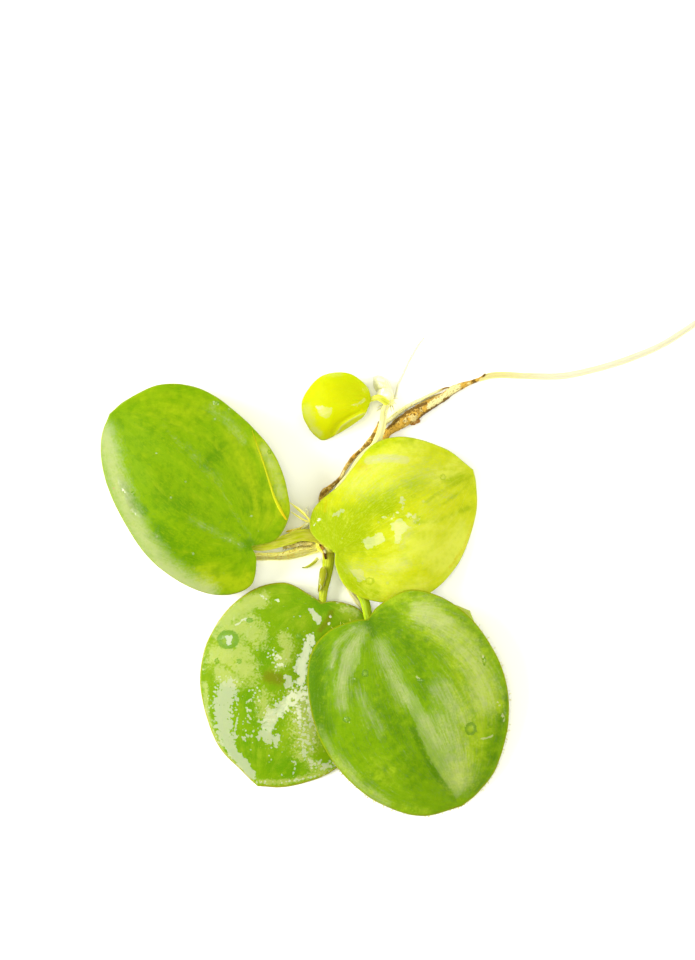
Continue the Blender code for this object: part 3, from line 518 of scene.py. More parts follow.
# Each stalk or root: its route as x, y, z and radius, the same as the solid's
STRANDS = {
    "petiole_left": [
        (-1.5, 1.55, 2.4, 0.8), (-3.1, 1.6, 2.6, 0.75), (-4.4, 1.15, 2.8, 0.72),
        (-5.9, 0.7, 3.0, 0.68), (-7.4, 0.3, 3.1, 0.6), (-8.7, 0.2, 3.2, 0.5),
    ],
    "petiole_centre": [
        (0.45, 0.7, 3.4, 0.5), (0.9, 0.45, 3.8, 0.5), (1.4, 0.1, 4.2, 0.45),
    ],
    "petiole_lower_left": [
        (0.45, -1.15, 1.3, 0.75), (0.4, -2.0, 1.25, 0.72), (0.2, -3.4, 1.2, 0.65),
        (-0.1, -5.0, 1.2, 0.55), (-0.3, -6.3, 1.25, 0.5),
    ],
    "petiole_lower_right": [
        (1.8, -0.4, 2.5, 0.6), (2.5, -2.0, 2.7, 0.6), (3.6, -4.2, 2.9, 0.6),
        (4.9, -6.4, 3.1, 0.6), (5.35, -8.3, 3.55, 0.55),
    ],
    "petiole_young": [
        (1.75, -0.85, 0.85, 0.35), (2.2, -2.6, 0.6, 0.35), (3.2, -5.4, 0.45, 0.35),
        (4.7, -7.4, 0.4, 0.35), (5.7, -9.0, 0.4, 0.3), (6.8, -11.2, 0.4, 0.3),
        (8.2, -14.2, 0.5, 0.3), (9.0, -15.7, 0.8, 0.28),
    ],
    "sprout": [
        (-0.95, -1.3, 0.6, 0.2), (-1.3, -1.75, 0.6, 0.2), (-1.9, -2.2, 0.55, 0.17),
        (-2.4, -2.4, 0.5, 0.12), (-2.85, -2.45, 0.5, 0.06),
    ],
    "crown_scale": [
        (-1.5, 3.35, 1.5, 0.2), (-2.1, 3.1, 1.45, 0.22), (-2.7, 2.65, 1.4, 0.22),
        (-3.2, 2.35, 1.4, 0.22), (-4.0, 2.2, 1.45, 0.2), (-4.8, 2.05, 1.5, 0.1),
    ],
    "root_upper": [
        (-1.6, 0.2, 0.95, 0.28), (-3.1, -0.1, 0.88, 0.28), (-4.4, -0.5, 0.8, 0.25),
        (-5.6, -0.75, 0.75, 0.24), (-6.9, -0.8, 0.7, 0.22), (-8.3, -0.8, 0.64, 0.2),
        (-10.5, -1.0, 0.4, 0.18), (-13.0, -1.6, 0.25, 0.15), (-15.5, -1.4, 0.2, 0.1),
    ],
    "root_lower": [
        (-1.5, -0.45, 0.55, 0.28), (-3.1, -0.9, 0.42, 0.27), (-4.4, -1.2, 0.35, 0.25),
        (-5.6, -1.3, 0.3, 0.23), (-6.9, -1.3, 0.28, 0.22), (-8.3, -1.3, 0.26, 0.2),
        (-10.4, -1.8, 0.24, 0.16), (-12.5, -3.0, 0.22, 0.1),
    ],
    "root_brown": [
        (-1.7, 0.6, 1.6, 0.26), (-2.3, 0.55, 1.5, 0.28), (-3.1, 0.5, 1.42, 0.28),
        (-4.1, 0.35, 1.3, 0.25), (-5.2, 0.0, 1.2, 0.12),
    ],
    "rhizome": [
        (1.2, 2.5, 0.75, 0.5), (2.2, 4.6, 0.65, 0.5), (3.9, 7.6, 0.65, 0.5),
        (5.9, 11.4, 0.65, 0.5), (7.2, 13.4, 0.65, 0.5), (7.95, 14.55, 0.68, 0.53),
        (9.05, 15.3, 0.75, 0.65), (10.35, 16.25, 0.87, 0.8), (11.4, 16.9, 0.88, 0.82),
        (12.5, 17.55, 0.8, 0.71), (13.75, 18.25, 0.68, 0.59), (15.0, 19.0, 0.6, 0.53),
        (15.9, 19.7, 0.56, 0.5), (16.9, 20.2, 0.52, 0.45), (17.9, 20.6, 0.4, 0.3),
        (18.75, 20.9, 0.36, 0.24), (19.5, 21.25, 0.35, 0.18),
    ],
    "old_root": [
        (-0.1, 2.9, 0.7, 0.3), (-0.4, 4.6, 0.5, 0.3), (-0.5, 6.0, 0.45, 0.32),
        (-0.35, 6.6, 0.5, 0.38), (0.1, 7.15, 0.5, 0.4), (0.75, 7.65, 0.4, 0.3),
        (1.9, 8.75, 0.35, 0.24), (2.5, 9.85, 0.35, 0.22), (3.3, 11.05, 0.38, 0.27),
        (4.6, 12.4, 0.35, 0.2), (5.2, 12.95, 0.4, 0.3), (5.7, 13.5, 0.43, 0.34),
        (6.1, 14.15, 0.4, 0.28), (6.4, 14.8, 0.32, 0.2), (6.75, 15.8, 0.25, 0.1),
    ],
    "torn_strand": [
        (7.65, 15.75, 0.33, 0.25), (8.4, 16.3, 0.33, 0.27), (9.3, 17.0, 0.33, 0.27),
        (10.3, 17.7, 0.32, 0.25), (11.2, 18.2, 0.32, 0.24), (12.1, 18.65, 0.3, 0.22),
        (13.1, 19.15, 0.3, 0.2), (14.0, 19.6, 0.28, 0.18), (15.0, 20.0, 0.25, 0.1),
    ],
    "long_root": [
        (20.4, 21.5, 0.4, 0.36), (22.0, 21.65, 0.4, 0.39), (25.6, 21.5, 0.4, 0.39),
        (29.4, 21.5, 0.41, 0.4), (33.1, 22.2, 0.41, 0.4), (36.9, 23.3, 0.41, 0.4),
        (40.6, 24.7, 0.4, 0.39), (43.1, 26.0, 0.4, 0.39), (46.3, 28.1, 0.38, 0.36),
        (48.8, 29.6, 0.3, 0.27), (51.2, 30.6, 0.2, 0.1),
    ],
    "stolon": [
        (1.0, 2.4, 2.6, 0.45), (0.8, 4.2, 2.4, 0.45), (1.1, 6.2, 2.3, 0.45),
        (2.0, 7.75, 2.3, 0.45), (3.2, 9.2, 2.3, 0.45), (4.1, 10.6, 2.35, 0.45),
        (5.2, 11.9, 2.4, 0.47), (6.05, 12.6, 2.5, 0.48), (6.6, 13.6, 2.6, 0.48),
        (6.95, 14.6, 2.5, 0.48), (7.2, 15.7, 2.2, 0.45), (7.4, 17.2, 1.6, 0.4),
    ],
    "daughter_petiole": [
        (7.2, 18.5, 2.1, 0.4), (6.7, 18.75, 2.3, 0.38), (6.2, 18.7, 2.3, 0.33),
    ],
    "daughter_root": [
        (8.75, 18.8, 0.6, 0.14), (8.95, 19.6, 0.35, 0.14), (9.2, 20.6, 0.22, 0.14),
        (9.7, 21.7, 0.2, 0.14), (10.4, 23.2, 0.19, 0.13), (11.1, 24.5, 0.18, 0.12),
        (11.8, 25.6, 0.18, 0.11), (12.4, 26.3, 0.18, 0.08),
    ],
}

# Where a stalk grows on into the crown or a blade, beyond the solid's ends
GROWS_ON = {
    "petiole_left": ([(-0.4, 1.2, 2.1, 0.8)], [(-9.6, 0.35, 3.75, 0.4)]),
    "petiole_centre": ([(0.3, 0.8, 2.6, 0.5)], [(1.9, 0.0, 4.7, 0.4)]),
    "petiole_lower_left": ([(0.4, -0.2, 1.4, 0.7)], [(-0.5, -7.4, 1.35, 0.4)]),
    "petiole_lower_right": ([(0.9, 0.4, 2.2, 0.6)], [(5.6, -9.4, 4.0, 0.5)]),
    "daughter_petiole": ([(7.7, 18.2, 1.6, 0.4)], [(5.6, 18.5, 2.3, 0.3)]),
    "stolon": ([(0.6, 1.2, 2.2, 0.45)], [(7.7, 17.9, 1.2, 0.4)]),
    "root_upper": ([(-0.7, 0.4, 1.1, 0.3)], []),
    "crown_scale": ([(-0.4, 2.2, 1.7, 0.25), (-0.9, 3.0, 1.6, 0.2)], []),
    "root_lower": ([(-0.5, -0.1, 0.8, 0.3)], []),
    "torn_strand": ([(7.1, 15.2, 0.7, 0.2)], [(15.5, 20.1, 0.3, 0.06)]),
    "long_root": ([(19.3, 21.0, 0.3, 0.2)], []),
}
# The rhizome's torn tip sticks up beyond its solid
RHIZOME_TIP = [(20.0, 21.75, 0.9, 0.1)]

# Dark, pale and amber places of the old bark, as strokes: half width, strength and route
BARK_MARKS = {
    "rhizome": {
        "dark": [
            (0.22, 0.9, [(7.8, 15.0), (8.6, 15.6), (9.4, 16.4), (10.4, 17.1), (11.4, 17.6), (12.6, 18.1)]),
            (0.35, 0.5, [(9.7, 16.5), (10.9, 16.9), (12.0, 17.4)]),
            (0.2, 0.9, [(11.6, 15.9), (12.4, 16.8)]),
            (0.16, 0.95, [(12.6, 16.9), (13.5, 17.5), (14.4, 18.0), (15.4, 18.8)]),
            (0.12, 0.7, [(15.6, 18.9), (16.6, 19.5), (17.2, 20.0)]),
            (0.2, 0.7, [(17.3, 20.8)]),
            (0.32, 0.95, [(18.6, 20.8)]),
            (0.3, 0.95, [(19.8, 21.6), (20.1, 21.9)]),
        ],
        "pale": [
            (0.45, 0.95, [(13.2, 17.7), (14.4, 18.5), (15.4, 19.2)]),
            (0.5, 1.0, [(15.6, 19.5), (16.5, 20.0)]),
            (0.3, 0.6, [(18.0, 20.5)]),
        ],
        "amber": [
            (0.5, 1.0, [(7.4, 14.2), (8.4, 14.7), (9.4, 15.1)]),
            (0.3, 0.8, [(12.4, 17.4), (12.8, 17.0)]),
            (0.5, 0.9, [(17.0, 20.2), (19.6, 21.4)]),
        ],
    },
    "old_root": {
        "dark": [
            (0.3, 0.9, [(6.05, 14.2), (5.8, 13.6)]),
            (0.25, 0.8, [(5.4, 13.1), (5.0, 12.8)]),
            (0.14, 0.8, [(4.6, 12.4)]),
            (0.25, 0.75, [(4.2, 12.0), (3.9, 11.7)]),
            (0.2, 0.8, [(3.4, 11.1), (3.1, 10.8)]),
            (0.12, 0.6, [(2.8, 10.4)]),
            (0.25, 0.85, [(1.6, 8.5), (0.9, 7.8)]),
            (0.3, 0.8, [(0.2, 7.2), (-0.4, 6.7)]),
            (0.2, 0.9, [(6.7, 15.7)]),
        ],
        "pale": [
            (0.2, 0.7, [(2.4, 9.6), (2.1, 9.0)]),
            (0.15, 0.6, [(0.5, 7.5)]),
        ],
        "amber": [
            (0.3, 0.9, [(3.8, 11.6), (3.3, 11.1)]),
            (0.2, 0.8, [(6.5, 15.0), (6.3, 14.6)]),
        ],
    },
    "root_brown": {
        "dark": [(0.12, 0.9, [(-4.0, 0.55)]), (0.12, 0.9, [(-3.4, 0.65)]), (0.14, 0.9, [(-2.8, 0.8)])],
        "pale": [(0.2, 0.7, [(-3.6, 0.1), (-3.0, 0.2)])],
        "amber": [(0.3, 0.6, [(-2.4, 0.5), (-1.8, 0.6)])],
    },
}

# The folded edge of the left leaf: x, y and radius of the yellow line
LEFT_RIDGE = [
    (-9.0, 14.6, 0.05), (-8.35, 12.7, 0.08), (-7.7, 10.9, 0.1), (-6.95, 8.5, 0.12), (-6.3, 6.5, 0.16),
    (-5.55, 4.9, 0.2), (-4.8, 3.6, 0.12),
]

# Scurf grows on the lower right leaf's rim below this y and right of this x. A place of the rim has
# up to so many points. Then: the share left out, how far a point strays and leans, its length, width.
SCURF_FROM_Y = -9.0
SCURF_FROM_X = 1.0
SCURF_A_PLACE = 2
SCURF_GAPS = 0.35
SCURF_OFFSET = 0.12
SCURF_LEAN = 0.6
SCURF_LENGTH = (0.06, 0.26)
SCURF_WIDTH = (0.03, 0.07)

# How many rootlets the bundle has, how each strays from the bundle's line and its radius
BUNDLE_ROOTLETS = 44
ROOTLET_DRIFT = (-0.14, 0.14)
ROOTLET_LIFT = (-0.25, 0.1)
ROOTLET_JITTER = (-0.05, 0.05)
ROOTLET_RADIUS = (0.04, 0.08)
# The brown root's hairs: how many, on how many places along it, and their form
ROOT_HAIRS = 150
ROOT_HAIR_PLACES = 40
ROOT_HAIR_LENGTH = (0.2, 0.6)
ROOT_HAIR_WIDTH = 0.035
ROOT_HAIR_SAG = 0.1

# Hairs over the crown and rootlets round the bud: x, y, z and radius along each
YELLOW_HAIRS = [
    [(-4.4, 5.7, 2.6, 0.05), (-3.4, 5.0, 2.8, 0.12), (-2.6, 4.3, 3.0, 0.14), (-1.9, 3.5, 3.1, 0.1)],
    [(-4.2, 4.5, 2.4, 0.05), (-3.4, 4.0, 2.6, 0.1), (-2.6, 3.5, 2.8, 0.12), (-1.8, 3.3, 3.0, 0.1)],
    [(-3.9, 5.2, 2.5, 0.04), (-2.9, 4.4, 2.7, 0.07), (-2.0, 3.6, 2.9, 0.07)],
]
WHITE_HAIRS = [
    [(-2.3, 4.1, 2.6, 0.05), (-2.4, 4.7, 2.8, 0.06), (-2.2, 5.3, 2.8, 0.02)],
    [(-2.1, 3.9, 2.6, 0.05), (-2.1, 4.6, 2.9, 0.06), (-1.9, 5.2, 2.9, 0.02)],
    [(-2.5, 3.9, 2.6, 0.04), (-2.7, 4.4, 2.7, 0.04), (-2.6, 4.9, 2.7, 0.02)],
    [(-2.7, 2.5, 2.0, 0.06), (-2.2, 3.0, 2.2, 0.09), (-1.8, 3.3, 2.3, 0.05)],
]
BUD_ROOTLETS = [
    [(7.3, 17.7, 0.9, 0.08), (6.9, 17.4, 0.8, 0.06), (6.4, 17.1, 0.7, 0.02)],
    [(7.2, 17.9, 0.9, 0.06), (6.8, 17.7, 0.8, 0.05), (6.5, 17.5, 0.7, 0.02)],
    [(8.2, 18.5, 1.2, 0.08), (8.7, 18.7, 1.2, 0.06), (9.1, 18.7, 1.1, 0.02)],
    [(8.2, 18.3, 1.0, 0.07), (8.6, 18.2, 0.9, 0.05), (8.9, 18.0, 0.8, 0.02)],
    [(8.1, 18.1, 0.9, 0.09), (8.2, 17.6, 0.7, 0.07), (8.3, 17.0, 0.5, 0.02)],
    [(7.6, 17.6, 1.3, 0.06), (7.6, 17.2, 1.9, 0.06), (7.55, 16.6, 2.4, 0.03)],
    [(8.1, 18.6, 1.3, 0.06), (8.6, 19.0, 1.4, 0.05), (9.0, 19.1, 1.3, 0.02)],
    [(8.3, 18.0, 0.9, 0.06), (8.5, 17.6, 0.7, 0.05), (8.6, 17.2, 0.5, 0.02)],
]
# The root bundle's own line: x, y, z and how far its rootlets fan out sideways
FIBRE_LINE = [
    (-0.9, 0.3, 1.3, 0.35), (-2.0, 0.0, 1.1, 0.55), (-3.2, -0.4, 0.9, 0.6), (-4.6, -0.8, 0.75, 0.5),
    (-6.0, -1.0, 0.65, 0.32), (-7.6, -1.05, 0.6, 0.28), (-9.2, -1.1, 0.5, 0.3), (-11.0, -1.4, 0.4, 0.4),
]

# Dry scraps in the same form as the blades: of old sheaths, and the torn bark beside the runner
SCRAPS = {
    "scrap_cream": {
        "base": (-1.7, 3.4, 2.4), "tip": (-3.0, 2.35, 2.0),
        "right": [(-1.9, 3.5, 2.4), (-2.4, 3.1, 2.3), (-2.8, 2.7, 2.1)],
        "left": [(-1.8, 3.1, 2.3), (-2.2, 2.7, 2.2), (-2.7, 2.35, 2.0)],
        "middle": (-2.3, 2.95, 2.45), "thickness": 0.1,
        "skin": "cream",
    },
    "bark_web": {
        "base": (8.2, 15.4, 0.7), "tip": (14.6, 19.4, 0.5),
        "right": [(9.6, 16.0, 0.8), (11.2, 17.0, 0.9), (13.0, 18.2, 0.7), (14.2, 19.0, 0.5)],
        "left": [(8.6, 16.0, 0.4), (9.9, 16.9, 0.4), (11.6, 18.0, 0.4), (13.4, 19.0, 0.4)],
        "middle": (11.0, 17.4, 0.9), "thickness": 0.2,
        "skin": "bark",
    },
    "bud_tissue": {
        "base": (8.0, 17.8, 1.0), "tip": (7.3, 20.0, 2.0),
        "right": [(8.6, 18.4, 1.0), (8.6, 19.2, 1.2), (8.2, 19.9, 1.5)],
        "left": [(7.1, 18.2, 1.2), (6.4, 18.8, 1.3), (6.6, 19.6, 1.6)],
        "middle": (7.6, 19.0, 2.1), "thickness": 0.2,
        "skin": "cream", "wet_gleam": [(0.16, 1.0, [(6.7, 19.2), (7.2, 18.9), (7.7, 19.1)])],
    },
}
# A brown scar on the crown over the lower left stalk
CROWN_SCAR = [
    (-0.7, 0.6, 2.45, 0.14), (-0.35, 0.1, 2.6, 0.2), (-0.05, -0.4, 2.5, 0.22), (0.1, -1.3, 2.1, 0.14),
]
SCAR_MARKS = {
    "dark": [(0.2, 0.9, [(-0.6, 0.4)]), (0.25, 0.9, [(0.0, -0.8), (0.1, -1.2)])],
    # Painted highlight: the pale mark stands for a glint on the scar
    "pale": [(0.14, 1.0, [(-0.05, -0.3), (0.0, -0.55)])],
}


def colour(red, green, blue):
    """A colour as a screen shows it, 0 to 255, as the light values that a shader takes."""
    shares = [value / 255 for value in (red, green, blue)]
    linear = [s / 12.92 if s <= 0.04045 else ((s + 0.055) / 1.055) ** 2.4 for s in shares]
    return (*linear, 1.0)


def pigment(red, green, blue, light=1.0):
    """The paint that looks like this screen colour in a share of the stage's full light."""
    return (*(value / (LIGHT_GAIN * light) for value in colour(red, green, blue)[:3]), 1.0)


# Routes and surfaces


def smooth_route(points, steps=CURVE_STEPS):
    """A smooth curve through a few points, as a dense array of places."""
    stops = np.array(points, float)
    stops = np.vstack([2 * stops[0] - stops[1], stops, 2 * stops[-1] - stops[-2]])
    t = np.arange(steps)[:, None] / steps
    legs = []
    for before, start, end, after in zip(stops, stops[1:], stops[2:], stops[3:]):
        bend = (2 * before - 5 * start + 4 * end - after) * t**2
        twist = (3 * start - before - 3 * end + after) * t**3
        legs.append((2 * start + (end - before) * t + bend + twist) / 2)
    return np.vstack([*legs, stops[-2:-1]])


def even_stops(route, count):
    """count + 1 places at equal distances along a dense route."""
    reach = np.concatenate([[0], np.cumsum(np.linalg.norm(np.diff(route, axis=0), axis=1))])
    wanted = np.linspace(0, reach[-1], count + 1)
    return np.stack([np.interp(wanted, reach, column) for column in route.T], axis=1)


def distance_to_line(x, y, start, end):
    along_x, along_y = end[0] - start[0], end[1] - start[1]
    return np.abs((x - start[0]) * along_y - (y - start[1]) * along_x) / hypot(along_x, along_y)


def distance_to_route(x, y, places):
    """How far each place is from a broken line, in plan."""
    nearest = np.full(x.shape, np.inf)
    for start, end in zip(places, places[1:] or places):
        leg_x, leg_y = end[0] - start[0], end[1] - start[1]
        # A route of a single place has one leg of no length
        length2 = leg_x * leg_x + leg_y * leg_y or 1.0
        share = np.clip(((x - start[0]) * leg_x + (y - start[1]) * leg_y) / length2, 0, 1)
        away = np.hypot(x - start[0] - share * leg_x, y - start[1] - share * leg_y)
        nearest = np.minimum(nearest, away)
    return nearest


def each_stroke(x, y, strokes):
    """Each stroke's strength: full on its route, half at the half width, and smoothly 0 beyond."""
    for half_width, strength, places in strokes:
        away = distance_to_route(x, y, places) / half_width
        yield strength * 0.5 ** (away * away)


def stroke_mask(x, y, strokes):
    """The strongest of the strokes at each place."""
    mask = np.zeros(x.shape)
    for strength in each_stroke(x, y, strokes):
        mask = np.maximum(mask, strength)
    return mask


def crease_height(x, y, creases):
    """How far creases raise or lower each place."""
    return sum(each_stroke(x, y, creases), np.zeros(x.shape))


def pane_mask(x, y, panes):
    """1 inside patches with straight edges, one half on their edges, 0 outside."""
    mask = np.zeros(x.shape)
    for corners in panes:
        inside = np.full(x.shape, np.inf)
        sides = list(zip(corners, corners[1:] + corners[:1]))
        turn = sum(a[0] * b[1] - a[1] * b[0] for a, b in sides)
        for a, b in sides:
            leg_x, leg_y = b[0] - a[0], b[1] - a[1]
            side = ((x - a[0]) * leg_y - (y - a[1]) * leg_x) / hypot(leg_x, leg_y)
            inside = np.minimum(inside, -side if turn > 0 else side)
        mask = np.maximum(mask, np.clip(0.5 + inside / (2 * PANE_EDGE), 0, 1))
    return mask


def lumps(places, size, seed=0.0):
    """Smooth noise from -1 to 1 whose lumps are about size across, at each place."""
    offset = Vector((seed, 2.7 * seed, -1.3 * seed))
    return np.array([noise(Vector(place) / size + offset) for place in places])


def vein_coordinates(x, y, base, tip):
    """Leaf coordinates whose lines are arcs from base to tip, and the arcs that cross them."""
    to_base = np.arctan2(base[1] - y, base[0] - x)
    to_tip = np.arctan2(tip[1] - y, tip[0] - x)
    across = (to_tip - to_base) % tau - pi
    near_base = np.maximum(np.hypot(x - base[0], y - base[1]), VEIN_START)
    near_tip = np.maximum(np.hypot(x - tip[0], y - tip[1]), VEIN_START)
    return across, np.log(near_base / near_tip)


def store(mesh, name, *columns):
    """Keeps three numbers a vertex in the mesh, for the shaders."""
    values = np.zeros((len(mesh.vertices), 3), np.float32)
    for number, column in enumerate(columns):
        values[:, number] = column
    layer = mesh.attributes.new(name, "FLOAT_VECTOR", "POINT")
    layer.data.foreach_set("vector", values.ravel())


def make_piece(name, places, faces, materials, nodes):
    """A mesh piece of the plant from places in millimetres, riding with the part."""
    mesh = bpy.data.meshes.new(name)
    in_metres = (np.asarray(places) + np.array(CROWN)) * MM
    mesh.from_pydata(in_metres.tolist(), [], faces)
    mesh.shade_smooth()
    for material in materials:
        mesh.materials.append(material)
    piece = bpy.data.objects.new(name, mesh)
    bpy.context.scene.collection.objects.link(piece)
    if nodes:
        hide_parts(*nodes)
    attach(piece, "root")
    return piece


# Blades


def disc_faces(spokes, rings):
    """Faces of a disc: a fan round vertex 0, then rings of four-sided faces."""
    faces = [(0, 1 + spoke, 1 + (spoke + 1) % spokes) for spoke in range(spokes)]
    for ring in range(rings - 1):
        inner, outer = 1 + ring * spokes, 1 + (ring + 1) * spokes
        for spoke in range(spokes):
            after = (spoke + 1) % spokes
            faces.append((inner + spoke, outer + spoke, outer + after, inner + after))
    return faces


def blade_rim(leaf, side, wave):
    """The rim's places, from the base along the right side to the tip and back on the left."""
    right = even_stops(smooth_route([leaf["base"], *leaf["right"], leaf["tip"]]), side)
    left = even_stops(smooth_route([leaf["base"], *leaf["left"], leaf["tip"]]), side)
    rim = np.vstack([right, left[-2:0:-1]])
    outward = (rim - np.array(leaf["middle"])) * (1, 1, 0)
    outward /= np.linalg.norm(outward, axis=1)[:, None]
    return rim + outward * (lumps(rim, WAVE_SIZE, seed=3.1) * wave)[:, None], outward


def make_blade(name, leaf, strokes, finish, node, small, pucker, wave=WAVE):
    """A leaf blade on the solid's own rim, with puckers, creases and a finished underside."""
    side = SMALL_SPOKES_A_SIDE if small else SPOKES_A_SIDE
    rings = SMALL_RINGS if small else RINGS
    rim, outward = blade_rim(leaf, side, wave)
    middle = np.array(leaf["middle"])
    # The middle, then ring by ring: each place's share of the way out and its place on the rim
    ring = np.repeat(np.arange(1, rings + 1) / rings, len(rim))
    edge = np.tile(rim, (rings, 1))
    ring = np.concatenate([[0.0], ring])
    edge = np.vstack([rim[:1], edge])
    x = middle[0] + (edge[:, 0] - middle[0]) * ring
    y = middle[1] + (edge[:, 1] - middle[1]) * ring
    z = middle[2] + (edge[:, 2] - middle[2]) * ring**RIM_ROUNDING
    if "groove" in leaf:
        off_midrib = distance_to_line(x, y, leaf["base"], leaf["tip"]) / leaf["groove_width"]
        z -= leaf["groove"] * np.exp(-off_midrib * off_midrib) * (1 - ring**GROOVE_FADE)
    flat = np.stack([x, y, np.zeros(x.shape)], axis=1)
    puckers = lumps(flat, PUCKER_SIZE, seed=1.0) + 0.5 * lumps(flat, FINE_PUCKER_SIZE, seed=5.0)
    z += pucker * puckers * (1 - ring**PUCKER_FADE)
    z += crease_height(x, y, strokes.get("creases", []))
    z -= leaf["thickness"] * LIP_SHARE * np.clip((ring - LIP_START) / (1 - LIP_START), 0, 1) ** 2
    places = np.stack([x, y, z], axis=1)
    faces = disc_faces(len(rim), rings)
    SURFACES[name] = BVHTree.FromPolygons(places.tolist(), faces)

    blade = make_piece(name, places, faces, finish, [node] if node else None)
    deep, light, brown, painted_sheen, wet_gleam = (
        stroke_mask(x, y, strokes.get(kind, [])) for kind in ("deep", "light", "brown", "painted_sheen", "wet_gleam"))
    store(blade.data, "plan", x, y, ring)
    store(blade.data, "veins", *vein_coordinates(x, y, leaf["base"], leaf["tip"]))
    store(blade.data, "tint", deep, light, brown)
    store(blade.data, "wet", painted_sheen, wet_gleam, pane_mask(x, y, strokes.get("panes", [])))

    # The underside follows at the blade's thickness, which shrinks towards the rim
    group = blade.vertex_groups.new(name="thickness")
    shares = 1 - (1 - RIM_THICKNESS_SHARE) * ring**THINNING
    for number, share in enumerate(shares):
        group.add([number], share, "REPLACE")
    body = blade.modifiers.new("thickness", "SOLIDIFY")
    body.thickness = leaf["thickness"] * MM
    body.offset = -1.0
    body.vertex_group = "thickness"
    body.material_offset = 1 if len(finish) > 1 else 0


def height_on(blade_name, x, y):
    """The height of a blade's upper face over a place."""
    hit = SURFACES[blade_name].ray_cast(Vector((x, y, ABOVE_ALL)), Vector((0, 0, -1)))
    return hit[0].z


# Strands


def tube_frames(centres):
    """Two directions square to the route at each of its places, without twist."""
    ahead = np.gradient(centres, axis=0)
    ahead /= np.linalg.norm(ahead, axis=1)[:, None]
    first = np.cross(ahead[0], (0.0, 0.0, 1.0))
    # A route that starts upright has no level direction of its own
    if np.linalg.norm(first) < 1e-3:
        first = np.array((1.0, 0.0, 0.0))
    sides = []
    for way in ahead:
        first = first - way * np.dot(first, way)
        first /= np.linalg.norm(first)
        sides.append(first.copy())
    sides = np.array(sides)
    return sides, np.cross(sides, ahead)


def tube_mesh(route, stops, sides, relief=None):
    """Places, faces and marks of a tapering tube with rounded ends."""
    sized = even_stops(smooth_route(route), stops)
    start, end = sized[:1].copy(), sized[-1:].copy()
    before = (sized[0] - sized[1])[:3]
    after = (sized[-1] - sized[-2])[:3]
    before *= sized[0, 3] / np.linalg.norm(before)
    after *= sized[-1, 3] / np.linalg.norm(after)
    caps = []
    for share in CAP_SHARES:
        head, tail = start.copy(), end.copy()
        head[0, :3] += before * share * CAP_LENGTH
        tail[0, :3] += after * share * CAP_LENGTH
        width = max(1 - share * share, CAP_LEAST_WIDTH2) ** 0.5
        head[0, 3] *= width
        tail[0, 3] *= width
        caps.append((head, tail))
    sized = np.vstack([*(c[0] for c in caps), sized, *(c[1] for c in reversed(caps))])
    centres, radii = sized[:, :3], sized[:, 3]
    first, second = tube_frames(centres)
    reach = np.concatenate([[0], np.cumsum(np.linalg.norm(np.diff(centres, axis=0), axis=1))])
    turn = np.arange(sides) / sides * tau
    ring_way = first[:, None] * np.cos(turn)[None, :, None] + second[:, None] * np.sin(turn)[None, :, None]
    places = (centres[:, None] + ring_way * radii[:, None, None]).reshape(-1, 3)
    along = np.repeat(reach, sides)
    share = along / reach[-1]
    around = np.tile(turn / tau, len(centres))
    if relief:
        grow = relief(places, around)
        middle = np.repeat(centres, sides, axis=0)
        places = middle + (places - middle) * (1 + grow)[:, None]
    faces = []
    for ring in range(len(centres) - 1):
        here, there = ring * sides, (ring + 1) * sides
        for number in range(sides):
            after_it = (number + 1) % sides
            faces.append((here + number, here + after_it, there + after_it, there + number))
    faces.append(tuple(range(sides - 1, -1, -1)))
    last = (len(centres) - 1) * sides
    faces.append(tuple(range(last, last + sides)))
    return places, faces, (along, around, share)


def make_tube(name, route, finish, node, stops=60, sides=20, relief=None, marks=None):
    """A stalk, runner or root, with marks of other colours where it has them."""
    places, faces, strand = tube_mesh(route, stops, sides, relief)
    places[:, 2] = np.maximum(places[:, 2], LOWEST)
    piece = make_piece(name, places, faces, [finish], [node] if node else None)
    store(piece.data, "strand", *strand)
    if marks:
        x, y = places[:, 0], places[:, 1]
        kinds = (marks.get(kind, []) for kind in ("dark", "pale", "amber"))
        store(piece.data, "tint", *(stroke_mask(x, y, strokes) for strokes in kinds))


def make_bundle(name, routes, finish, stops, sides):
    """Many fine hairs or fibres as one joined mesh."""
    all_places, all_faces, all_marks = [], [], []
    count = 0
    for route in routes:
        places, faces, marks = tube_mesh(route, stops, sides)
        all_places.append(places)
        all_faces += [tuple(number + count for number in face) for face in faces]
        all_marks.append(np.stack(marks))
        count += len(places)
    places = np.vstack(all_places)
    places[:, 2] = np.maximum(places[:, 2], LOWEST)
    piece = make_piece(name, places, all_faces, [finish], None)
    store(piece.data, "strand", *np.hstack(all_marks))


# Shaders


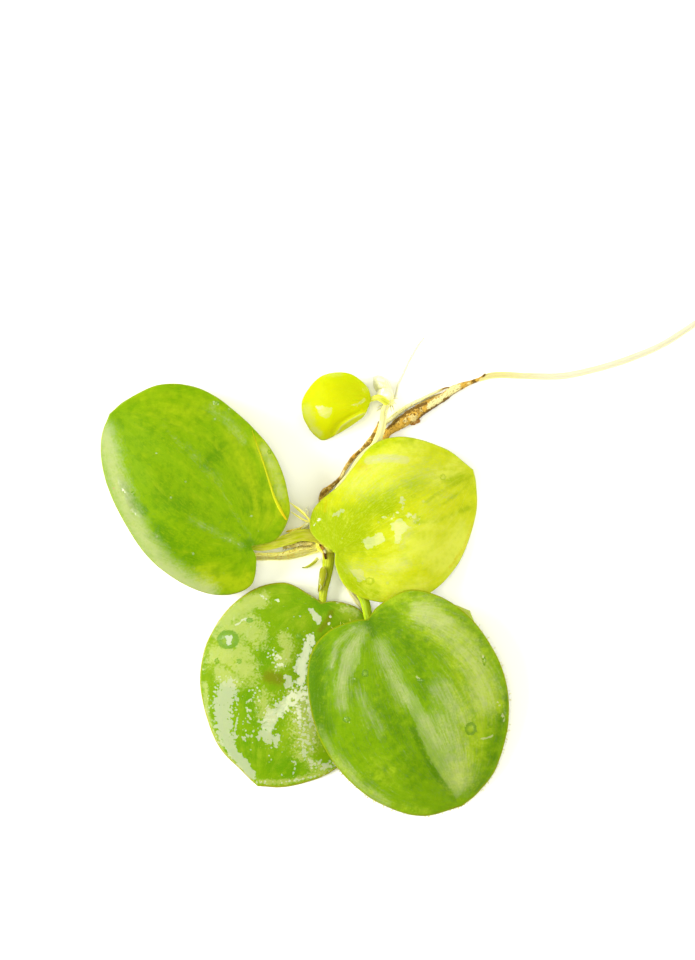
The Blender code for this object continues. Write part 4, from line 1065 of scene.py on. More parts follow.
class Finish:
    """A material under construction: adds shader nodes and joins them by what they give."""

    def __init__(self, name):
        self.material = bpy.data.materials.new(name)
        self.material.use_nodes = True
        self.tree = self.material.node_tree
        self.shader = self.tree.nodes["Principled BSDF"]
        self.output = self.tree.nodes["Material Output"]

    def put(self, socket, value):
        if isinstance(value, bpy.types.NodeSocket):
            self.tree.links.new(value, socket)
        else:
            socket.default_value = value

    def node(self, kind, *values, **settings):
        made = self.tree.nodes.new("ShaderNode" + kind)
        for setting, value in settings.items():
            setattr(made, setting, value)
        for socket, value in zip(made.inputs, values):
            self.put(socket, value)
        return made

    def fill(self, made, **values):
        """Sets a node's inputs; an underscore in a name stands for a space."""
        for name, value in values.items():
            self.put(made.inputs[name.replace("_", " ")], value)

    def set(self, **values):
        self.fill(self.shader, **values)

    def sums(self, operation, first, second=0.5, third=0.5, clamp=False):
        return self.node("Math", first, second, third, operation=operation, use_clamp=clamp).outputs[0]

    def times(self, value, *factors):
        for factor in factors:
            value = self.sums("MULTIPLY", value, factor)
        return value

    def most(self, value, *others):
        for other in others:
            value = self.sums("MAXIMUM", value, other)
        return value

    def step(self, value, low, high, start=0.0, end=1.0):
        """Smoothly from start to end as the value goes from low to high."""
        made = self.node("MapRange", value, low, high, start, end, interpolation_type="SMOOTHSTEP")
        return made.outputs[0]

    def vary(self, value, *clouds):
        """The value raised and lowered by clouds, each with its strength."""
        for cloud, strength in clouds:
            centred = self.sums("SUBTRACT", cloud, 0.5)
            value = self.sums("MULTIPLY_ADD", centred, strength, value)
        return value

    def mix(self, share, first, second, blend="MIX"):
        # A colour mix has its colours in sockets 6 and 7 and gives one in socket 2
        made = self.node("Mix", data_type="RGBA", blend_type=blend)
        self.put(made.inputs[0], share)
        self.put(made.inputs[6], first)
        self.put(made.inputs[7], second)
        return made.outputs[2]

    def read(self, name):
        return self.node("Attribute", attribute_name=name).outputs["Vector"]

    def parts(self, vector):
        return self.node("SeparateXYZ", vector).outputs

    def scaled(self, vector, by):
        return self.node("VectorMath", vector, by, operation="MULTIPLY").outputs[0]

    def cloud(self, vector, scale, detail=2.0, roughness=0.5):
        made = self.node("TexNoise")
        self.fill(made, Vector=vector, Scale=scale, Detail=detail, Roughness=roughness)
        return made.outputs[0]

    def cells(self, vector, scale, feature="F1"):
        made = self.node("TexVoronoi", feature=feature)
        self.fill(made, Vector=vector, Scale=scale)
        return made.outputs

    def lines(self, value, spacing, width):
        """1 on evenly spaced lines of a value, smoothly 0 from a width away; shares of a spacing."""
        turns = self.sums("MULTIPLY", value, 1 / spacing)
        away = self.sums("ABSOLUTE", self.sums("SUBTRACT", self.sums("FRACT", turns), 0.5))
        return self.step(away, 0.5 - width, 0.5)

    def bump(self, height, depth):
        """Relief of a height from 0 to 1 that is depth millimetres deep."""
        made = self.node("Bump")
        self.fill(made, Height=height, Distance=depth * MM)
        return made.outputs[0]


def drop_domes(f, plan, drops):
    """Domed drops: 1 inside them, 1 towards their edge, and their height in millimetres."""
    inside, ring, height = 0.0, 0.0, 0.0
    bend = f.node("VectorMath", f.node("TexNoise", plan).outputs["Color"], operation="SCALE")
    f.fill(bend, Scale=DROP_BEND)
    plan = f.node("VectorMath", plan, bend.outputs[0], operation="ADD").outputs[0]
    for x, y, half_x, half_y in drops:
        x, y = x + DROP_BEND / 2, y + DROP_BEND / 2
        away = f.node("VectorMath", plan, (x, y, 0.0), operation="SUBTRACT").outputs[0]
        away = f.scaled(away, (1 / half_x, 1 / half_y, 0.0))
        distance = f.node("VectorMath", away, operation="LENGTH").outputs["Value"]
        this_one = f.step(distance, 0.9, 1.0, 1.0, 0.0)
        inside = f.most(inside, this_one)
        ring = f.most(ring, f.times(this_one, f.step(distance, 0.3, 0.7)))
        low = f.sums("SUBTRACT", 1.0, f.times(distance, distance), clamp=True)
        dome = f.times(f.sums("POWER", low, 0.7), DROP_HEIGHT * half_y)
        height = f.most(height, dome)
    return inside, ring, height


def leaf_finish(name, look, drops):
    """The upper face of a blade: mottled greens, arcs of veins, painted sheen, and wet film with painted
    reflections.
    """
    f = Finish(name)
    plan, veins = f.read("plan"), f.read("veins")
    deep_mask, light_mask, brown_mask = f.parts(f.read("tint"))[:3]
    painted_sheen_mask, wet_gleam_mask, pane = f.parts(f.read("wet"))[:3]
    across, along = f.parts(veins)[:2]
    ring = f.parts(plan)[2]
    flat = f.scaled(plan, (1.0, 1.0, 0.0))
    # Noise over the plan, and noise drawn out along the veins
    blotch = f.cloud(flat, 0.30, 3.0, 0.55)
    mottle = f.cloud(flat, 0.9, 4.0, 0.62)
    grain = f.cloud(flat, 3.4, 3.0, 0.6)
    torn = f.cloud(flat, 1.6, 5.0, 0.65)
    pores = f.cells(flat, 2.6)[0]
    silk = f.cloud(f.scaled(veins, (24.0, 2.6, 0.0)), 1.0, 5.0, 0.65)
    silk = f.vary(0.5, (silk, f.step(along, 0.9, 2.2, 1.0, 0.2)))
    band = f.cloud(f.scaled(veins, (6.0, 0.9, 0.0)), 1.0, 3.0)
    wobble = f.vary(across, (f.cloud(flat, 0.5), 0.14), (f.cloud(flat, 1.6), 0.03))
    vein = f.times(f.lines(wobble, look["vein_spacing"], 0.06), f.step(band, 0.35, 0.6))
    cross = f.lines(f.vary(along, (f.cloud(flat, 0.7), 0.5)), 0.32, 0.06)

    # The skin's own greens, its veins, specks and decay
    deep, light = pigment(*look["deep"]), pigment(*look["light"])
    deepness = f.vary(
        deep_mask, (blotch, look["blotch"]), (mottle, look["mottle"]), (silk, look["silk"]),
        (grain, look["grain"]))
    paint = f.mix(f.step(deepness, -0.1, 0.9), pigment(*look["mid"]), deep)
    lightness = f.vary(light_mask, (band, look["band"]), (mottle, -look["mottle"]), (grain, look["grain"]))
    paint = f.mix(f.step(lightness, -0.05, 0.95), paint, light)
    paint = f.mix(f.times(vein, look["vein_share"]), paint, pigment(*look["vein"]))
    paint = f.mix(f.times(cross, look["cross_share"], light_mask), paint, deep)
    spots = f.step(f.cloud(flat, 0.85, 6.0, 0.7), 0.47, 0.64, 0.0, look["spots"])
    paint = f.mix(spots, paint, deep)
    flecks = f.cloud(f.scaled(veins, (34.0, 7.0, 0.0)), 1.0, 4.0, 0.7)
    paint = f.mix(f.step(flecks, 0.52, 0.66, 0.0, look["flecks"]), paint, light)
    stain = f.step(f.vary(brown_mask, (grain, 0.7)), 0.3, 0.75)
    paint = f.mix(stain, paint, pigment(*look["brown"]))

    # Wet places and painted light: fine beads in some of the cells, drops, a painted satin sheen, and wet
    # film and panes with painted reflections
    beads = f.cells(flat, look["beads"])
    chance = f.parts(beads[1])[0]
    size = f.step(chance, 0.84, 1.0, 0.0, 0.24)
    bead = f.sums("SUBTRACT", 1.0, f.sums("DIVIDE", beads[0], f.most(size, 0.001)), clamp=True)
    bead = f.sums("POWER", bead, 0.6)
    drop, drop_ring_shade, dome = drop_domes(f, flat, drops)
    outside = f.sums("SUBTRACT", 1.0, drop)
    painted_sheen = f.vary(painted_sheen_mask, (silk, look["streaks"]), (mottle, look["ragged"]), (grain, look["ragged"]))
    painted_sheen = f.step(painted_sheen, *look["painted_sheen_edge"])
    wet_gleam = f.vary(wet_gleam_mask, (torn, 1.4), (pores, -0.6), (silk, look["streaks"] * 0.5))
    wet_gleam = f.step(wet_gleam, 0.46, 0.58)
    pane_reflection = f.vary(pane, (torn, 0.9), (pores, -0.6), (silk, look["streaks"]))
    pane_reflection = f.step(pane_reflection, 0.5 - look["pane_blur"], 0.5 + look["pane_blur"])
    # Painted light: a pale satin sheen, then pale reflections and glints on the wet film, panes and beads
    painted_shine = f.times(painted_sheen, look["painted_sheen_share"], outside)
    painted_reflection = f.times(wet_gleam, look["painted_gleam_share"], outside)
    painted_reflection = f.sums("MULTIPLY_ADD", pane_reflection, look["painted_pane_share"], painted_reflection)
    painted_reflection = f.sums("MULTIPLY_ADD", f.step(bead, 0.3, 0.8), look["painted_bead_share"], painted_reflection, clamp=True)
    # Painted shade: darker edges round the beads and darker rings in the drops
    paint = f.mix(f.step(bead, 0.02, 0.3, 0.0, look["painted_bead_share"]), paint, deep)
    paint = f.mix(f.times(drop_ring_shade, look["drop_ring_shade"]), paint, deep)
    paint = f.mix(painted_shine, paint, pigment(*look["painted_sheen_tone"]))
    paint = f.mix(painted_reflection, paint, pigment(*look["painted_shine"]))
    rim = f.step(f.vary(ring, (mottle, 0.012)), look["rim_start"], 0.996, 0.0, look["rim_share"])
    paint = f.mix(rim, paint, pigment(*look["rim"]))

    # Gloss and relief of the skin and of the water on it
    coat = f.most(
        wet_gleam, f.times(drop, look["drop_gloss"]), f.step(bead, 0.02, 0.1, 0.0, look["bead_gloss"]),
        f.times(pane_reflection, look["pane_gloss"]), f.times(painted_sheen, look["satin"]))
    relief = f.vary(silk, (grain, 0.7), (mottle, 0.6))
    relief = f.sums("MULTIPLY_ADD", vein, -0.5, relief)
    calm = f.times(f.sums("MULTIPLY_ADD", wet_gleam, -look["film_calm"], 1.0), outside)
    ripple = f.times(f.cloud(flat, 1.5, 4.0, 0.6), f.times(calm, look["ripple"]))
    wet = f.sums("ADD", f.sums("ADD", ripple, f.times(bead, look["bead_height"])), dome)
    f.set(Base_Color=paint, Roughness=f.step(grain, 0.3, 0.7, 0.42, 0.55))
    f.set(Normal=f.bump(relief, look["relief"]), Specular_IOR_Level=SKIN_SPECULAR)
    f.set(Coat_Weight=coat, Coat_Roughness=FILM_ROUGHNESS, Coat_IOR=FILM_IOR, Coat_Normal=f.bump(wet, 1.0))
    f.set(Subsurface_Weight=look["depth"], Subsurface_Scale=LEAF_DEPTH * MM)
    f.set(Subsurface_Radius=LEAF_SPREAD)
    return f.material


def underside_finish(name, pale, air):
    """The lower face of a blade: paler, with the net of its air cells."""
    f = Finish(name)
    # Painted light: both tones are brightened by the share of light below a blade
    pale, air = pigment(*pale, UNDER_LIGHT), pigment(*air, UNDER_LIGHT)
    flat = f.scaled(f.read("plan"), (1.0, 1.0, 0.0))
    edge = f.cells(flat, 1.5, "DISTANCE_TO_EDGE")[0]
    wall = f.step(edge, 0.0, 0.14, 1.0, 0.0)
    paint = f.mix(f.cloud(flat, 0.5), pale, air)
    paint = f.mix(f.times(wall, 0.4), paint, air)
    f.set(Base_Color=paint, Roughness=0.5, Specular_IOR_Level=0.3, Normal=f.bump(wall, 0.12))
    f.set(Subsurface_Weight=0.3, Subsurface_Scale=LEAF_DEPTH * MM, Subsurface_Radius=UNDERSIDE_SPREAD)
    return f.material


def stalk_finish(name, light, body, stripe, spot=None, start=None, end=None, stripes=9, side_light=SIDE_PAINTED_LIGHT):
    """A stalk or runner: lengthwise stripes, blotches, other colours at its ends, a damp skin, painted
    light on its sideways faces.
    """
    f = Finish(name)
    body, stripe = pigment(*body, light), pigment(*stripe, light)
    strand = f.read("strand")
    along, around, share = f.parts(strand)[:3]
    fibre = f.cloud(f.scaled(strand, (0.7, 14.0, 0.0)), 1.0, 3.0)
    blotch = f.cloud(f.scaled(strand, (0.9, 2.0, 0.0)), 1.0, 4.0)
    speck = f.cloud(f.scaled(strand, (2.6, 6.0, 0.0)), 1.0, 3.0, 0.6)
    ribs = f.lines(f.vary(around, (fibre, 0.03)), 1 / stripes, 0.3)
    paint = f.mix(f.step(fibre, 0.35, 0.7), body, stripe)
    paint = f.mix(f.times(ribs, 0.35), paint, stripe)
    if spot:
        paint = f.mix(f.step(speck, 0.54, 0.64, 0.0, 0.8), paint, pigment(*spot, light))
    if start:
        early = f.step(f.vary(share, (blotch, 0.2)), 0.05, 0.3, 1.0, 0.0)
        paint = f.mix(early, paint, pigment(*start, light))
    if end:
        paint = f.mix(f.step(f.vary(share, (blotch, 0.1)), 0.82, 0.97), paint, pigment(*end, light))
    # Painted light: faces that turn sideways are brightened, more in red and green than in blue
    facing_up = f.parts(f.node("NewGeometry").outputs["Normal"])[2]
    paint = f.mix(f.step(facing_up, 0.0, 0.9, side_light, 0.0), paint, SIDE_LIGHT_TINT, "MULTIPLY")
    relief = f.sums("MULTIPLY_ADD", ribs, 0.7, fibre)
    f.set(Base_Color=paint, Roughness=f.step(fibre, 0.2, 0.8, 0.38, 0.55), Specular_IOR_Level=0.08)
    f.set(Normal=f.bump(relief, 0.04), Coat_Weight=f.step(blotch, 0.4, 0.6, 0.0, 0.08))
    f.set(Coat_Roughness=0.1, Coat_IOR=FILM_IOR)
    f.set(Subsurface_Weight=0.3, Subsurface_Scale=STALK_DEPTH * MM, Subsurface_Radius=STALK_SPREAD)
    return f.material


def bark_finish(name, light, *tones):
    """Old bark: fibres and scabs of its own brown, with amber, pale and dark places."""
    f = Finish(name)
    body, amber, pale, dark = (pigment(*tone, light) for tone in tones)
    strand = f.read("strand")
    dark_mask, pale_mask, amber_mask = f.parts(f.read("tint"))[:3]
    place = f.scaled(f.node("TexCoord").outputs["Object"], (1 / MM, 1 / MM, 1 / MM))
    fibre = f.cloud(f.scaled(strand, (1.6, 10.0, 0.0)), 1.0, 4.0, 0.6)
    patch = f.cloud(place, 1.4, 4.0, 0.6)
    scab = f.cloud(place, 4.0, 3.0, 0.6)
    paint = f.mix(f.step(fibre, 0.42, 0.58), body, amber)
    paint = f.mix(f.step(patch, 0.5, 0.6, 0.0, 0.6), paint, pale)
    paint = f.mix(f.step(fibre, 0.42, 0.34, 0.0, 0.6), paint, dark)
    paint = f.mix(f.step(f.vary(amber_mask, (patch, 0.8)), 0.25, 0.6), paint, amber)
    paint = f.mix(f.step(f.vary(pale_mask, (patch, 1.2), (fibre, 1.0)), 0.3, 0.6), paint, pale)
    paint = f.mix(f.step(f.vary(dark_mask, (scab, 1.8), (fibre, 1.2)), 0.4, 0.62), paint, dark)
    cracks = f.cloud(f.scaled(strand, (3.4, 22.0, 0.0)), 1.0, 4.0, 0.7)
    paint = f.mix(f.step(cracks, 0.52, 0.62, 0.0, 0.8), paint, dark)
    paint = f.mix(f.step(scab, 0.36, 0.28, 0.0, 0.6), paint, pale)
    relief = f.vary(fibre, (scab, 1.2), (cracks, -0.8))
    f.set(Base_Color=paint, Roughness=0.5, Specular_IOR_Level=0.1, Normal=f.bump(relief, 0.12))
    return f.material


def membrane_finish(name, light, *tones, wet=0.7, specular=0.4):
    """A thin damp skin that lets some light through: its thin and thick places, its edge and a painted wet
    highlight.
    """
    f = Finish(name)
    thin, thick, edge = (pigment(*tone, light) for tone in tones)
    plan = f.read("plan")
    ring = f.parts(plan)[2]
    streak = f.cloud(f.scaled(f.read("veins"), (9.0, 1.2, 0.0)), 1.0, 2.0)
    brown = f.parts(f.read("tint"))[2]
    wet_gleam_mask = f.parts(f.read("wet"))[1]
    paint = f.mix(f.step(streak, 0.35, 0.65), thick, thin)
    paint = f.mix(f.step(ring, 0.75, 0.98), paint, edge)
    # Painted highlight: pale where the skin is wet
    paint = f.mix(f.step(wet_gleam_mask, 0.3, 0.7), paint, pigment(*PAINTED_GLEAM, light))
    paint = f.mix(f.step(brown, 0.3, 0.7), paint, pigment(*BROWN_EDGE, light))
    f.set(Base_Color=paint, Roughness=0.35, Specular_IOR_Level=specular)
    f.set(Coat_Weight=wet, Coat_Roughness=0.06, Normal=f.bump(f.cloud(plan, 1.6), 0.1))
    through = f.node("BsdfTranslucent", paint)
    both = f.node("MixShader", 0.15, f.shader.outputs[0], through.outputs[0])
    f.tree.links.new(both.outputs[0], f.output.inputs[0])
    return f.material


# The leaves' looks: colours as a screen shows them, then how strong each kind of variation is.
# A share is how far a tone covers what lies under it.
# The sheen, gleam, pane and bead shares and their pale tones are painted light, and the bead share and
# drop ring also paint darker edges as shade
PLAIN_LOOK = {
    "brown": (200, 150, 10), "painted_sheen_tone": (245, 244, 186), "painted_shine": (245, 246, 200),
    "blotch": 1.5, "mottle": 1.2, "silk": 0.5, "band": 1.3, "grain": 0.6, "spots": 0.5, "flecks": 0.3,
    "streaks": 0.5, "ragged": 0.6, "painted_sheen_edge": (0.1, 1.0), "painted_sheen_share": 0.4, "painted_gleam_share": 0.3,
    "painted_pane_share": 0.3, "pane_blur": 0.06, "pane_gloss": 1.0, "beads": 1.1, "painted_bead_share": 0.2,
    "vein_share": 0.15, "vein_spacing": 0.42, "cross_share": 0.0, "rim_share": 0.5, "rim_start": 0.984,
    "satin": 0.25, "bead_gloss": 0.5, "bead_height": 0.08, "drop_ring_shade": 0.7, "drop_gloss": 0.35,
    "relief": 0.03, "ripple": 0.12, "film_calm": 0.75, "depth": 0.25, "slot": "yellow_green_leaf",
}
GREENS = {
    "leaf_left": {
        "deep": (108, 164, 0), "mid": (148, 194, 2), "light": (190, 216, 20), "vein": (170, 200, 40),
        "rim": (215, 222, 60), "brown": (190, 140, 10), "painted_sheen_share": 0.5, "spots": 0.45,
        "blotch": 1.2, "mottle": 1.0, "grain": 0.9, "slot": "deep_green_leaf",
    },
    "leaf_centre": {
        "deep": (196, 222, 0), "mid": (244, 254, 30), "light": (262, 270, 96), "vein": (244, 252, 120),
        "rim": (240, 246, 80), "brown": (246, 222, 10), "painted_shine": (250, 250, 205), "blotch": 1.1,
        "mottle": 1.0, "silk": 0.8, "grain": 0.9, "band": 1.1, "streaks": 1.0, "vein_share": 0.2,
        "vein_spacing": 0.3, "depth": 0.35, "spots": 0.25, "flecks": 0.35, "painted_sheen_share": 0.45,
        "painted_gleam_share": 0.4, "beads": 0.9,
    },
    "leaf_lower_left": {
        "deep": (122, 180, 4), "mid": (146, 194, 6), "light": (180, 212, 40), "vein": (160, 205, 40),
        "rim": (216, 200, 60), "brown": (142, 160, 14), "painted_shine": (246, 249, 218),
        "painted_sheen_tone": (234, 240, 110), "rim_share": 0.65, "rim_start": 0.976, "ragged": 1.4,
        "streaks": 0.4, "painted_sheen_edge": (0.3, 0.7), "painted_sheen_share": 0.44, "painted_gleam_share": 0.56,
        "painted_pane_share": 0.7, "painted_bead_share": 0.45, "ripple": 0.2, "satin": 0.8, "beads": 1.3, "spots": 0.4,
        "slot": "bright_green_leaf",
    },
    "leaf_lower_right": {
        "deep": (104, 156, 2), "mid": (142, 190, 6), "light": (200, 230, 44), "vein": (160, 200, 60),
        "rim": (206, 196, 14), "brown": (150, 140, 10), "painted_shine": (242, 246, 176), "grain": 1.0,
        "silk": 0.7, "band": 0.8, "streaks": 1.4, "painted_sheen_edge": (0.0, 1.1), "painted_sheen_share": 0.48,
        "vein_share": 0.1, "vein_spacing": 0.34, "cross_share": 0.06, "rim_start": 0.98, "beads": 0.8,
        "relief": 0.045, "spots": 0.35, "flecks": 0.1, "painted_gleam_share": 0.5, "painted_pane_share": 0.15,
        "pane_blur": 0.3, "pane_gloss": 0.25, "slot": "deep_green_leaf",
    },
    "leaf_young": {
        "deep": (206, 226, 40), "mid": (222, 236, 84), "light": (236, 244, 130), "vein": (230, 240, 120),
        "rim": (240, 246, 110), "beads": 0.6,
    },
    "daughter_leaf": {
        "deep": (234, 244, 0), "mid": (248, 255, 0), "light": (254, 260, 60), "vein": (240, 248, 60),
        "rim": (246, 250, 110), "painted_shine": (252, 252, 175), "blotch": 0.8, "mottle": 0.4, "silk": 0.3,
        "band": 0.6, "vein_share": 0.08, "beads": 0.4, "depth": 0.35, "spots": 0.3, "rim_share": 0.8,
    },
}
PLAIN_PUCKER = 0.035
PUCKERS = {"leaf_lower_left": 0.06, "leaf_left": 0.06}

# The strands' looks: slot, share of light and two stripe colours, then what some have besides:
# spots, a start or end of another colour, a number of stripes and their own strength of the painted light
# on their sideways faces
STALK_LOOKS = {
    "petiole_left": (
        "green_stalk", 0.72, (196, 206, 8), (228, 228, 90),
        {"start": (206, 196, 60), "end": (160, 190, 4)}),
    "petiole_centre": ("green_stalk", 0.7, (170, 196, 6), (200, 214, 40), {}),
    "petiole_lower_left": (
        "green_stalk", 0.56, (160, 178, 14), (192, 200, 40),
        {"spot": (156, 160, 26), "start": (176, 166, 40), "end": (150, 186, 10), "side_light": 0.3}),
    "petiole_lower_right": ("green_stalk", 0.7, (152, 184, 2), (176, 198, 20), {}),
    "sprout": (
        "green_stalk", 0.75, (186, 194, 30), (220, 222, 90),
        {"start": (244, 240, 150), "end": (110, 114, 8)}),
    "daughter_petiole": ("yellow_green_leaf", 0.7, (222, 228, 40), (238, 240, 120), {}),
    "petiole_young": ("pale_runner", 0.8, (248, 240, 160), (252, 246, 196), {}),
    "stolon": (
        "pale_runner", 0.8, (246, 240, 152), (252, 248, 196), {"stripes": 6, "start": (244, 226, 150)}),
    "torn_strand": (
        "pale_runner", 0.6, (240, 236, 170), (248, 244, 196),
        {"spot": (214, 206, 110), "end": (140, 104, 40), "stripes": 5}),
    "long_root": (
        "pale_runner", 0.86, (253, 247, 208), (254, 250, 226), {"stripes": 5, "start": (248, 236, 160)}),
    "daughter_root": ("pale_runner", 0.8, (252, 250, 222), (254, 252, 236), {"stripes": 4}),
    "crown_scale": (
        "straw_root", 0.42, (226, 210, 90), (240, 226, 140),
        {"spot": (180, 140, 30), "start": (220, 200, 80), "end": (206, 176, 30), "stripes": 5}),
    "root_upper": (
        "straw_root", 0.42, (226, 216, 100), (240, 234, 160), {"spot": (180, 146, 40), "stripes": 5}),
    "root_lower": (
        "straw_root", 0.42, (230, 222, 100), (242, 236, 160), {"spot": (186, 156, 40), "stripes": 5}),
}
# Old bark: share of light, then its body, amber, pale and dark tones, then the stops and sides of its
# tube, then the depth and size of its relief
BARK_LOOKS = {
    "rhizome": (
        0.62, ((204, 158, 56), (222, 176, 70), (248, 238, 168), (122, 90, 30)), (260, 44), (0.13, 0.7)),
    "old_root": (
        0.42, ((206, 176, 90), (200, 156, 60), (236, 222, 150), (124, 94, 34)), (200, 18), (0.2, 0.5)),
    "root_brown": (
        0.42, ((214, 198, 100), (228, 214, 130), (244, 236, 180), (140, 104, 36)), (60, 16), (0.2, 0.5)),
}


def make_leaves():
    """The six leaves, the bud scale and the scale on the lower left stalk."""
    underside = underside_finish("leaf_underside", (198, 212, 90), (222, 228, 140))
    for node, own_look in GREENS.items():
        look = {**PLAIN_LOOK, **own_look}
        strokes = STROKES[node]
        finish = [leaf_finish(node + "_finish", look, strokes.get("drops", [])), underside]
        small = node in SMALL_LEAVES
        pucker = PUCKERS.get(node, PLAIN_PUCKER)
        make_blade(node + "_blade", LEAVES[node], strokes, finish, node, small, pucker)
    bud = membrane_finish("bud_skin", 0.55, (248, 246, 210), (236, 236, 160), (250, 248, 214))
    olive = membrane_finish(
        "sheath_skin", 0.74, (196, 198, 40), (178, 186, 24), (206, 204, 80), wet=0.05, specular=0.05)
    for node, skin in (("daughter_sheath", bud), ("sheath_lower_left", olive)):
        leaf, strokes = LEAVES[node], STROKES[node]
        make_blade(node + "_skin", leaf, strokes, [skin], node, True, 0.03, wave=0.02)


def make_left_leaf_ridge():
    """The yellow line where the left leaf's right edge is folded, lying on the blade."""
    name = "leaf_left_blade"
    route = [(x, y, height_on(name, x, y) - 0.3 * radius, radius) for x, y, radius in LEFT_RIDGE]
    finish = stalk_finish("ridge_yellow", 0.72, (226, 220, 20), (210, 222, 20), end=(238, 206, 20))
    make_tube("leaf_left_ridge", route, finish, None, 60, 10)


def make_rim_scurf():
    """Fine scurf on the lower right leaf's lower and right rim, tiny points of many sizes."""
    finish = stalk_finish("scurf_yellow", 0.8, (236, 222, 60), (248, 240, 150))
    dice = random.Random(5)
    rim, outward = blade_rim(LEAVES["leaf_lower_right"], SPOKES_A_SIDE, WAVE)
    routes = []
    for place, way in zip(rim, outward):
        if place[1] > SCURF_FROM_Y or place[0] < SCURF_FROM_X:
            continue
        for _ in range(SCURF_A_PLACE):
            if dice.random() < SCURF_GAPS:
                continue
            aside = [dice.uniform(-SCURF_OFFSET, SCURF_OFFSET) for _ in range(2)]
            start = place + [*aside, -0.05]
            length = dice.uniform(*SCURF_LENGTH)
            lean = [dice.uniform(-SCURF_LEAN, SCURF_LEAN) for _ in range(2)]
            end = start + (way + np.array([*lean, dice.uniform(-0.1, 0.5)])) * length
            width = dice.uniform(*SCURF_WIDTH)
            routes.append([(*start, width), (*end, width * 0.4)])
    make_bundle("leaf_lower_right_scurf", routes, finish, 2, 5)


def ribbed(places, around):
    """Relief of lengthwise ribs and soft swellings."""
    return SWELLING * lumps(places, 1.6, seed=2.0) + RIB_HEIGHT * np.cos(around * tau * RIBS)


def barky(depth, size):
    """Relief of torn bark: lumps of two sizes."""
    def relief(places, around):
        return depth * (lumps(places, size, seed=4.0) + 0.6 * lumps(places, size * 0.35, seed=9.0))
    return relief


def make_strands():
    """Stalks, runners and roots on their solids' routes, and the old bark with its marks."""
    for node, (slot, light, body, stripe, more) in STALK_LOOKS.items():
        before, after = GROWS_ON.get(node, ([], []))
        route = [*before, *STRANDS[node], *after]
        finish = stalk_finish(node + "_finish", light, body, stripe, **more)
        make_tube(node + "_tube", route, finish, node, relief=ribbed)
    for node, (light, tones, (stops, sides), relief) in BARK_LOOKS.items():
        route = STRANDS[node] + (RHIZOME_TIP if node == "rhizome" else [])
        finish = bark_finish(node + "_finish", light, *tones)
        make_tube(
            node + "_bark", route, finish, node, stops, sides, barky(*relief), BARK_MARKS[node])


def make_knot(name, centre, half, finish, node, seed=2.0, depth=0.1):
    """A lumpy rounded body."""
    shape = bmesh.new()
    bmesh.ops.create_icosphere(shape, subdivisions=5, radius=1.0)
    ways = np.array([vert.co for vert in shape.verts])
    faces = [tuple(vert.index for vert in face.verts) for face in shape.faces]
    shape.free()
    swell = 1 + depth * lumps(ways, 0.5, seed) + 0.5 * depth * lumps(ways, 0.2, seed + 4.0)
    places = np.array(centre) + ways * np.array(half) * swell[:, None]
    places[:, 2] = np.maximum(places[:, 2], LOWEST)
    knot = make_piece(name, places, faces, [finish], [node] if node else None)
    store(knot.data, "strand", ways[:, 2], np.arctan2(ways[:, 1], ways[:, 0]) / tau, ways[:, 0])


def make_knots():
    """The crown and the daughter's crown, lumpy where stalks and roots start, and the bark's knob."""
    green = stalk_finish("crown_green", 0.55, (196, 200, 50), (226, 220, 120), (176, 136, 40))
    straw = stalk_finish("crown_straw", 0.6, (238, 234, 130), (248, 244, 180))
    amber = bark_finish("knob_bark", 0.7, (178, 120, 50), (200, 146, 70), (226, 190, 120), (120, 74, 24))
    make_knot("crown_knot", (0.3, 0.7, 1.55), (1.5, 1.4, 1.35), green, "crown")
    make_knot(
        "daughter_crown_knot", (8.0, 18.3, 1.0), (0.6, 0.6, 0.75), straw, "daughter_crown")
    make_knot("rhizome_knob", (11.1, 15.9, 0.75), (0.72, 0.5, 0.55), amber, None, 3.0, 0.3)


def root_hair(start, end, dice):
    """A fine hair from start to end, bent sideways and tapering to a point."""
    sag = ROOT_HAIR_SAG
    middle = (start + end) / 2 + [dice.uniform(-sag, sag), dice.uniform(-sag, sag), sag * 0.5]
    width = ROOT_HAIR_WIDTH
    return [(*start, width), (*middle, width * 0.8), (*end, width * 0.3)]


def make_hairs():
    """Hairs and rootlets: over the crown, on the brown root, in the bundle and round the bud."""
    dice = random.Random(11)
    yellow = stalk_finish("hair_yellow", 0.32, (236, 226, 80), (240, 236, 140))
    white = stalk_finish("hair_white", 0.38, (246, 242, 216), (252, 250, 232))
    straw = stalk_finish("rootlet_straw", 0.4, (234, 224, 104), (246, 240, 160), (186, 150, 50))
    cream = stalk_finish("rootlet_cream", 0.6, (240, 234, 150), (248, 246, 196))
    brown = stalk_finish("hair_brown", 0.55, (170, 140, 60), (226, 210, 130), (120, 90, 30))
    make_bundle("crown_yellow_hairs", YELLOW_HAIRS, yellow, 16, 7)
    make_bundle("crown_white_hairs", WHITE_HAIRS, white, 10, 6)
    make_bundle("bud_rootlets", BUD_ROOTLETS, cream, 8, 6)

    fibres = []
    for _ in range(BUNDLE_ROOTLETS):
        drift = dice.uniform(*ROOTLET_DRIFT)
        lift = dice.uniform(*ROOTLET_LIFT)
        fan = dice.uniform(-1.0, 1.0)
        fibre = []
        for x, y, z, spread in FIBRE_LINE:
            y = y + drift + fan * spread + dice.uniform(*ROOTLET_JITTER)
            fibre.append((x, y, z + lift, dice.uniform(*ROOTLET_RADIUS)))
        fibres.append(fibre)
    make_bundle("bundle_rootlets", fibres, straw, 40, 6)

    hairs = []
    stops = even_stops(smooth_route(STRANDS["root_brown"]), ROOT_HAIR_PLACES)
    for _ in range(ROOT_HAIRS):
        root = stops[int(dice.random() * ROOT_HAIR_PLACES)]
        turn = dice.uniform(0, tau)
        way = np.array([dice.uniform(-0.7, 0.1), np.cos(turn), abs(np.sin(turn)) * 0.6])
        start = root[:3] + way * root[3] * 0.6
        hairs.append(root_hair(start, start + way * dice.uniform(*ROOT_HAIR_LENGTH), dice))
    make_bundle("root_brown_hairs", hairs, brown, 5, 5)


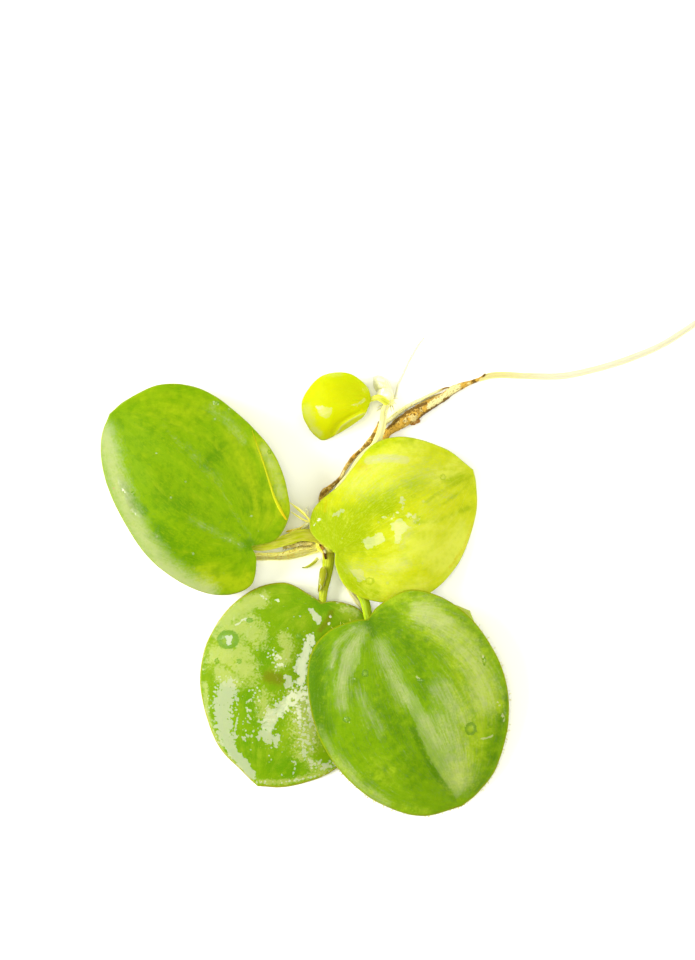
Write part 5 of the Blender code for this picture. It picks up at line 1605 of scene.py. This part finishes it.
def make_crown_scraps():
    """Dry scraps of old sheaths and torn bark, and the crown's brown scar."""
    skins = {
        "cream": membrane_finish("scrap_cream", 0.5, (250, 248, 214), (240, 236, 170), (248, 244, 200)),
        "bark": membrane_finish("scrap_bark", 0.6, (176, 146, 50), (120, 90, 20), (150, 120, 40)),
    }
    for name, scrap in SCRAPS.items():
        strokes = {"wet_gleam": scrap.get("wet_gleam", [])}
        make_blade(name, scrap, strokes, [skins[scrap["skin"]]], None, True, 0.05, wave=0.03)
    scar = bark_finish("scar_bark", 0.6, (166, 120, 30), (206, 160, 60), (248, 240, 190), (96, 64, 16))
    make_tube("crown_scar", CROWN_SCAR, scar, None, 60, 14, barky(0.3, 0.3), SCAR_MARKS)


# Floor, light and camera


def add_panel(name, way, distance, side, power, tone):
    """A square soft light panel that looks at the plant."""
    light = bpy.data.lights.new(name, "AREA")
    light.color = tone
    light.shape = "SQUARE"
    light.size = side
    light.energy = power
    panel = bpy.data.objects.new(name, light)
    direction = Vector(way).normalized()
    panel.location = VIEW_CENTRE * MM + direction * distance
    panel.rotation_euler = direction.to_track_quat("Z", "Y").to_euler()
    bpy.context.scene.collection.objects.link(panel)


def make_stage():
    """A white floor, a soft window low on the left, a weaker light above, and the camera."""
    bpy.ops.mesh.primitive_plane_add(size=3.0, location=(0, 0, 0))
    floor = bpy.context.object
    floor.name = "floor"
    white = Finish("floor_white")
    white.set(Base_Color=(0.9, 0.9, 0.9, 1.0), Roughness=0.6, Specular_IOR_Level=0.1)
    floor.data.materials.append(white.material)
    for name, panel in PANELS.items():
        add_panel(name, *panel)
    world = bpy.data.worlds.new("sky")
    world.use_nodes = True
    sky = world.node_tree.nodes["Background"]
    sky.inputs["Color"].default_value = (*ROOM_COLOUR, 1.0)
    sky.inputs["Strength"].default_value = SKY
    scene = bpy.context.scene
    scene.world = world
    scene.view_settings.view_transform = "Standard"
    lens = bpy.data.cameras.new("camera")
    lens.lens = LENS
    lens.clip_start = 0.01
    lens.clip_end = 10.0
    camera = bpy.data.objects.new("camera", lens)
    camera.location = (VIEW_CENTRE + Vector((0.0, 0.0, CAMERA_DISTANCE))) * MM
    scene.collection.objects.link(camera)
    scene.camera = camera


make_stage()
make_leaves()
make_left_leaf_ridge()
make_rim_scurf()
make_strands()
make_knots()
make_hairs()
make_crown_scraps()
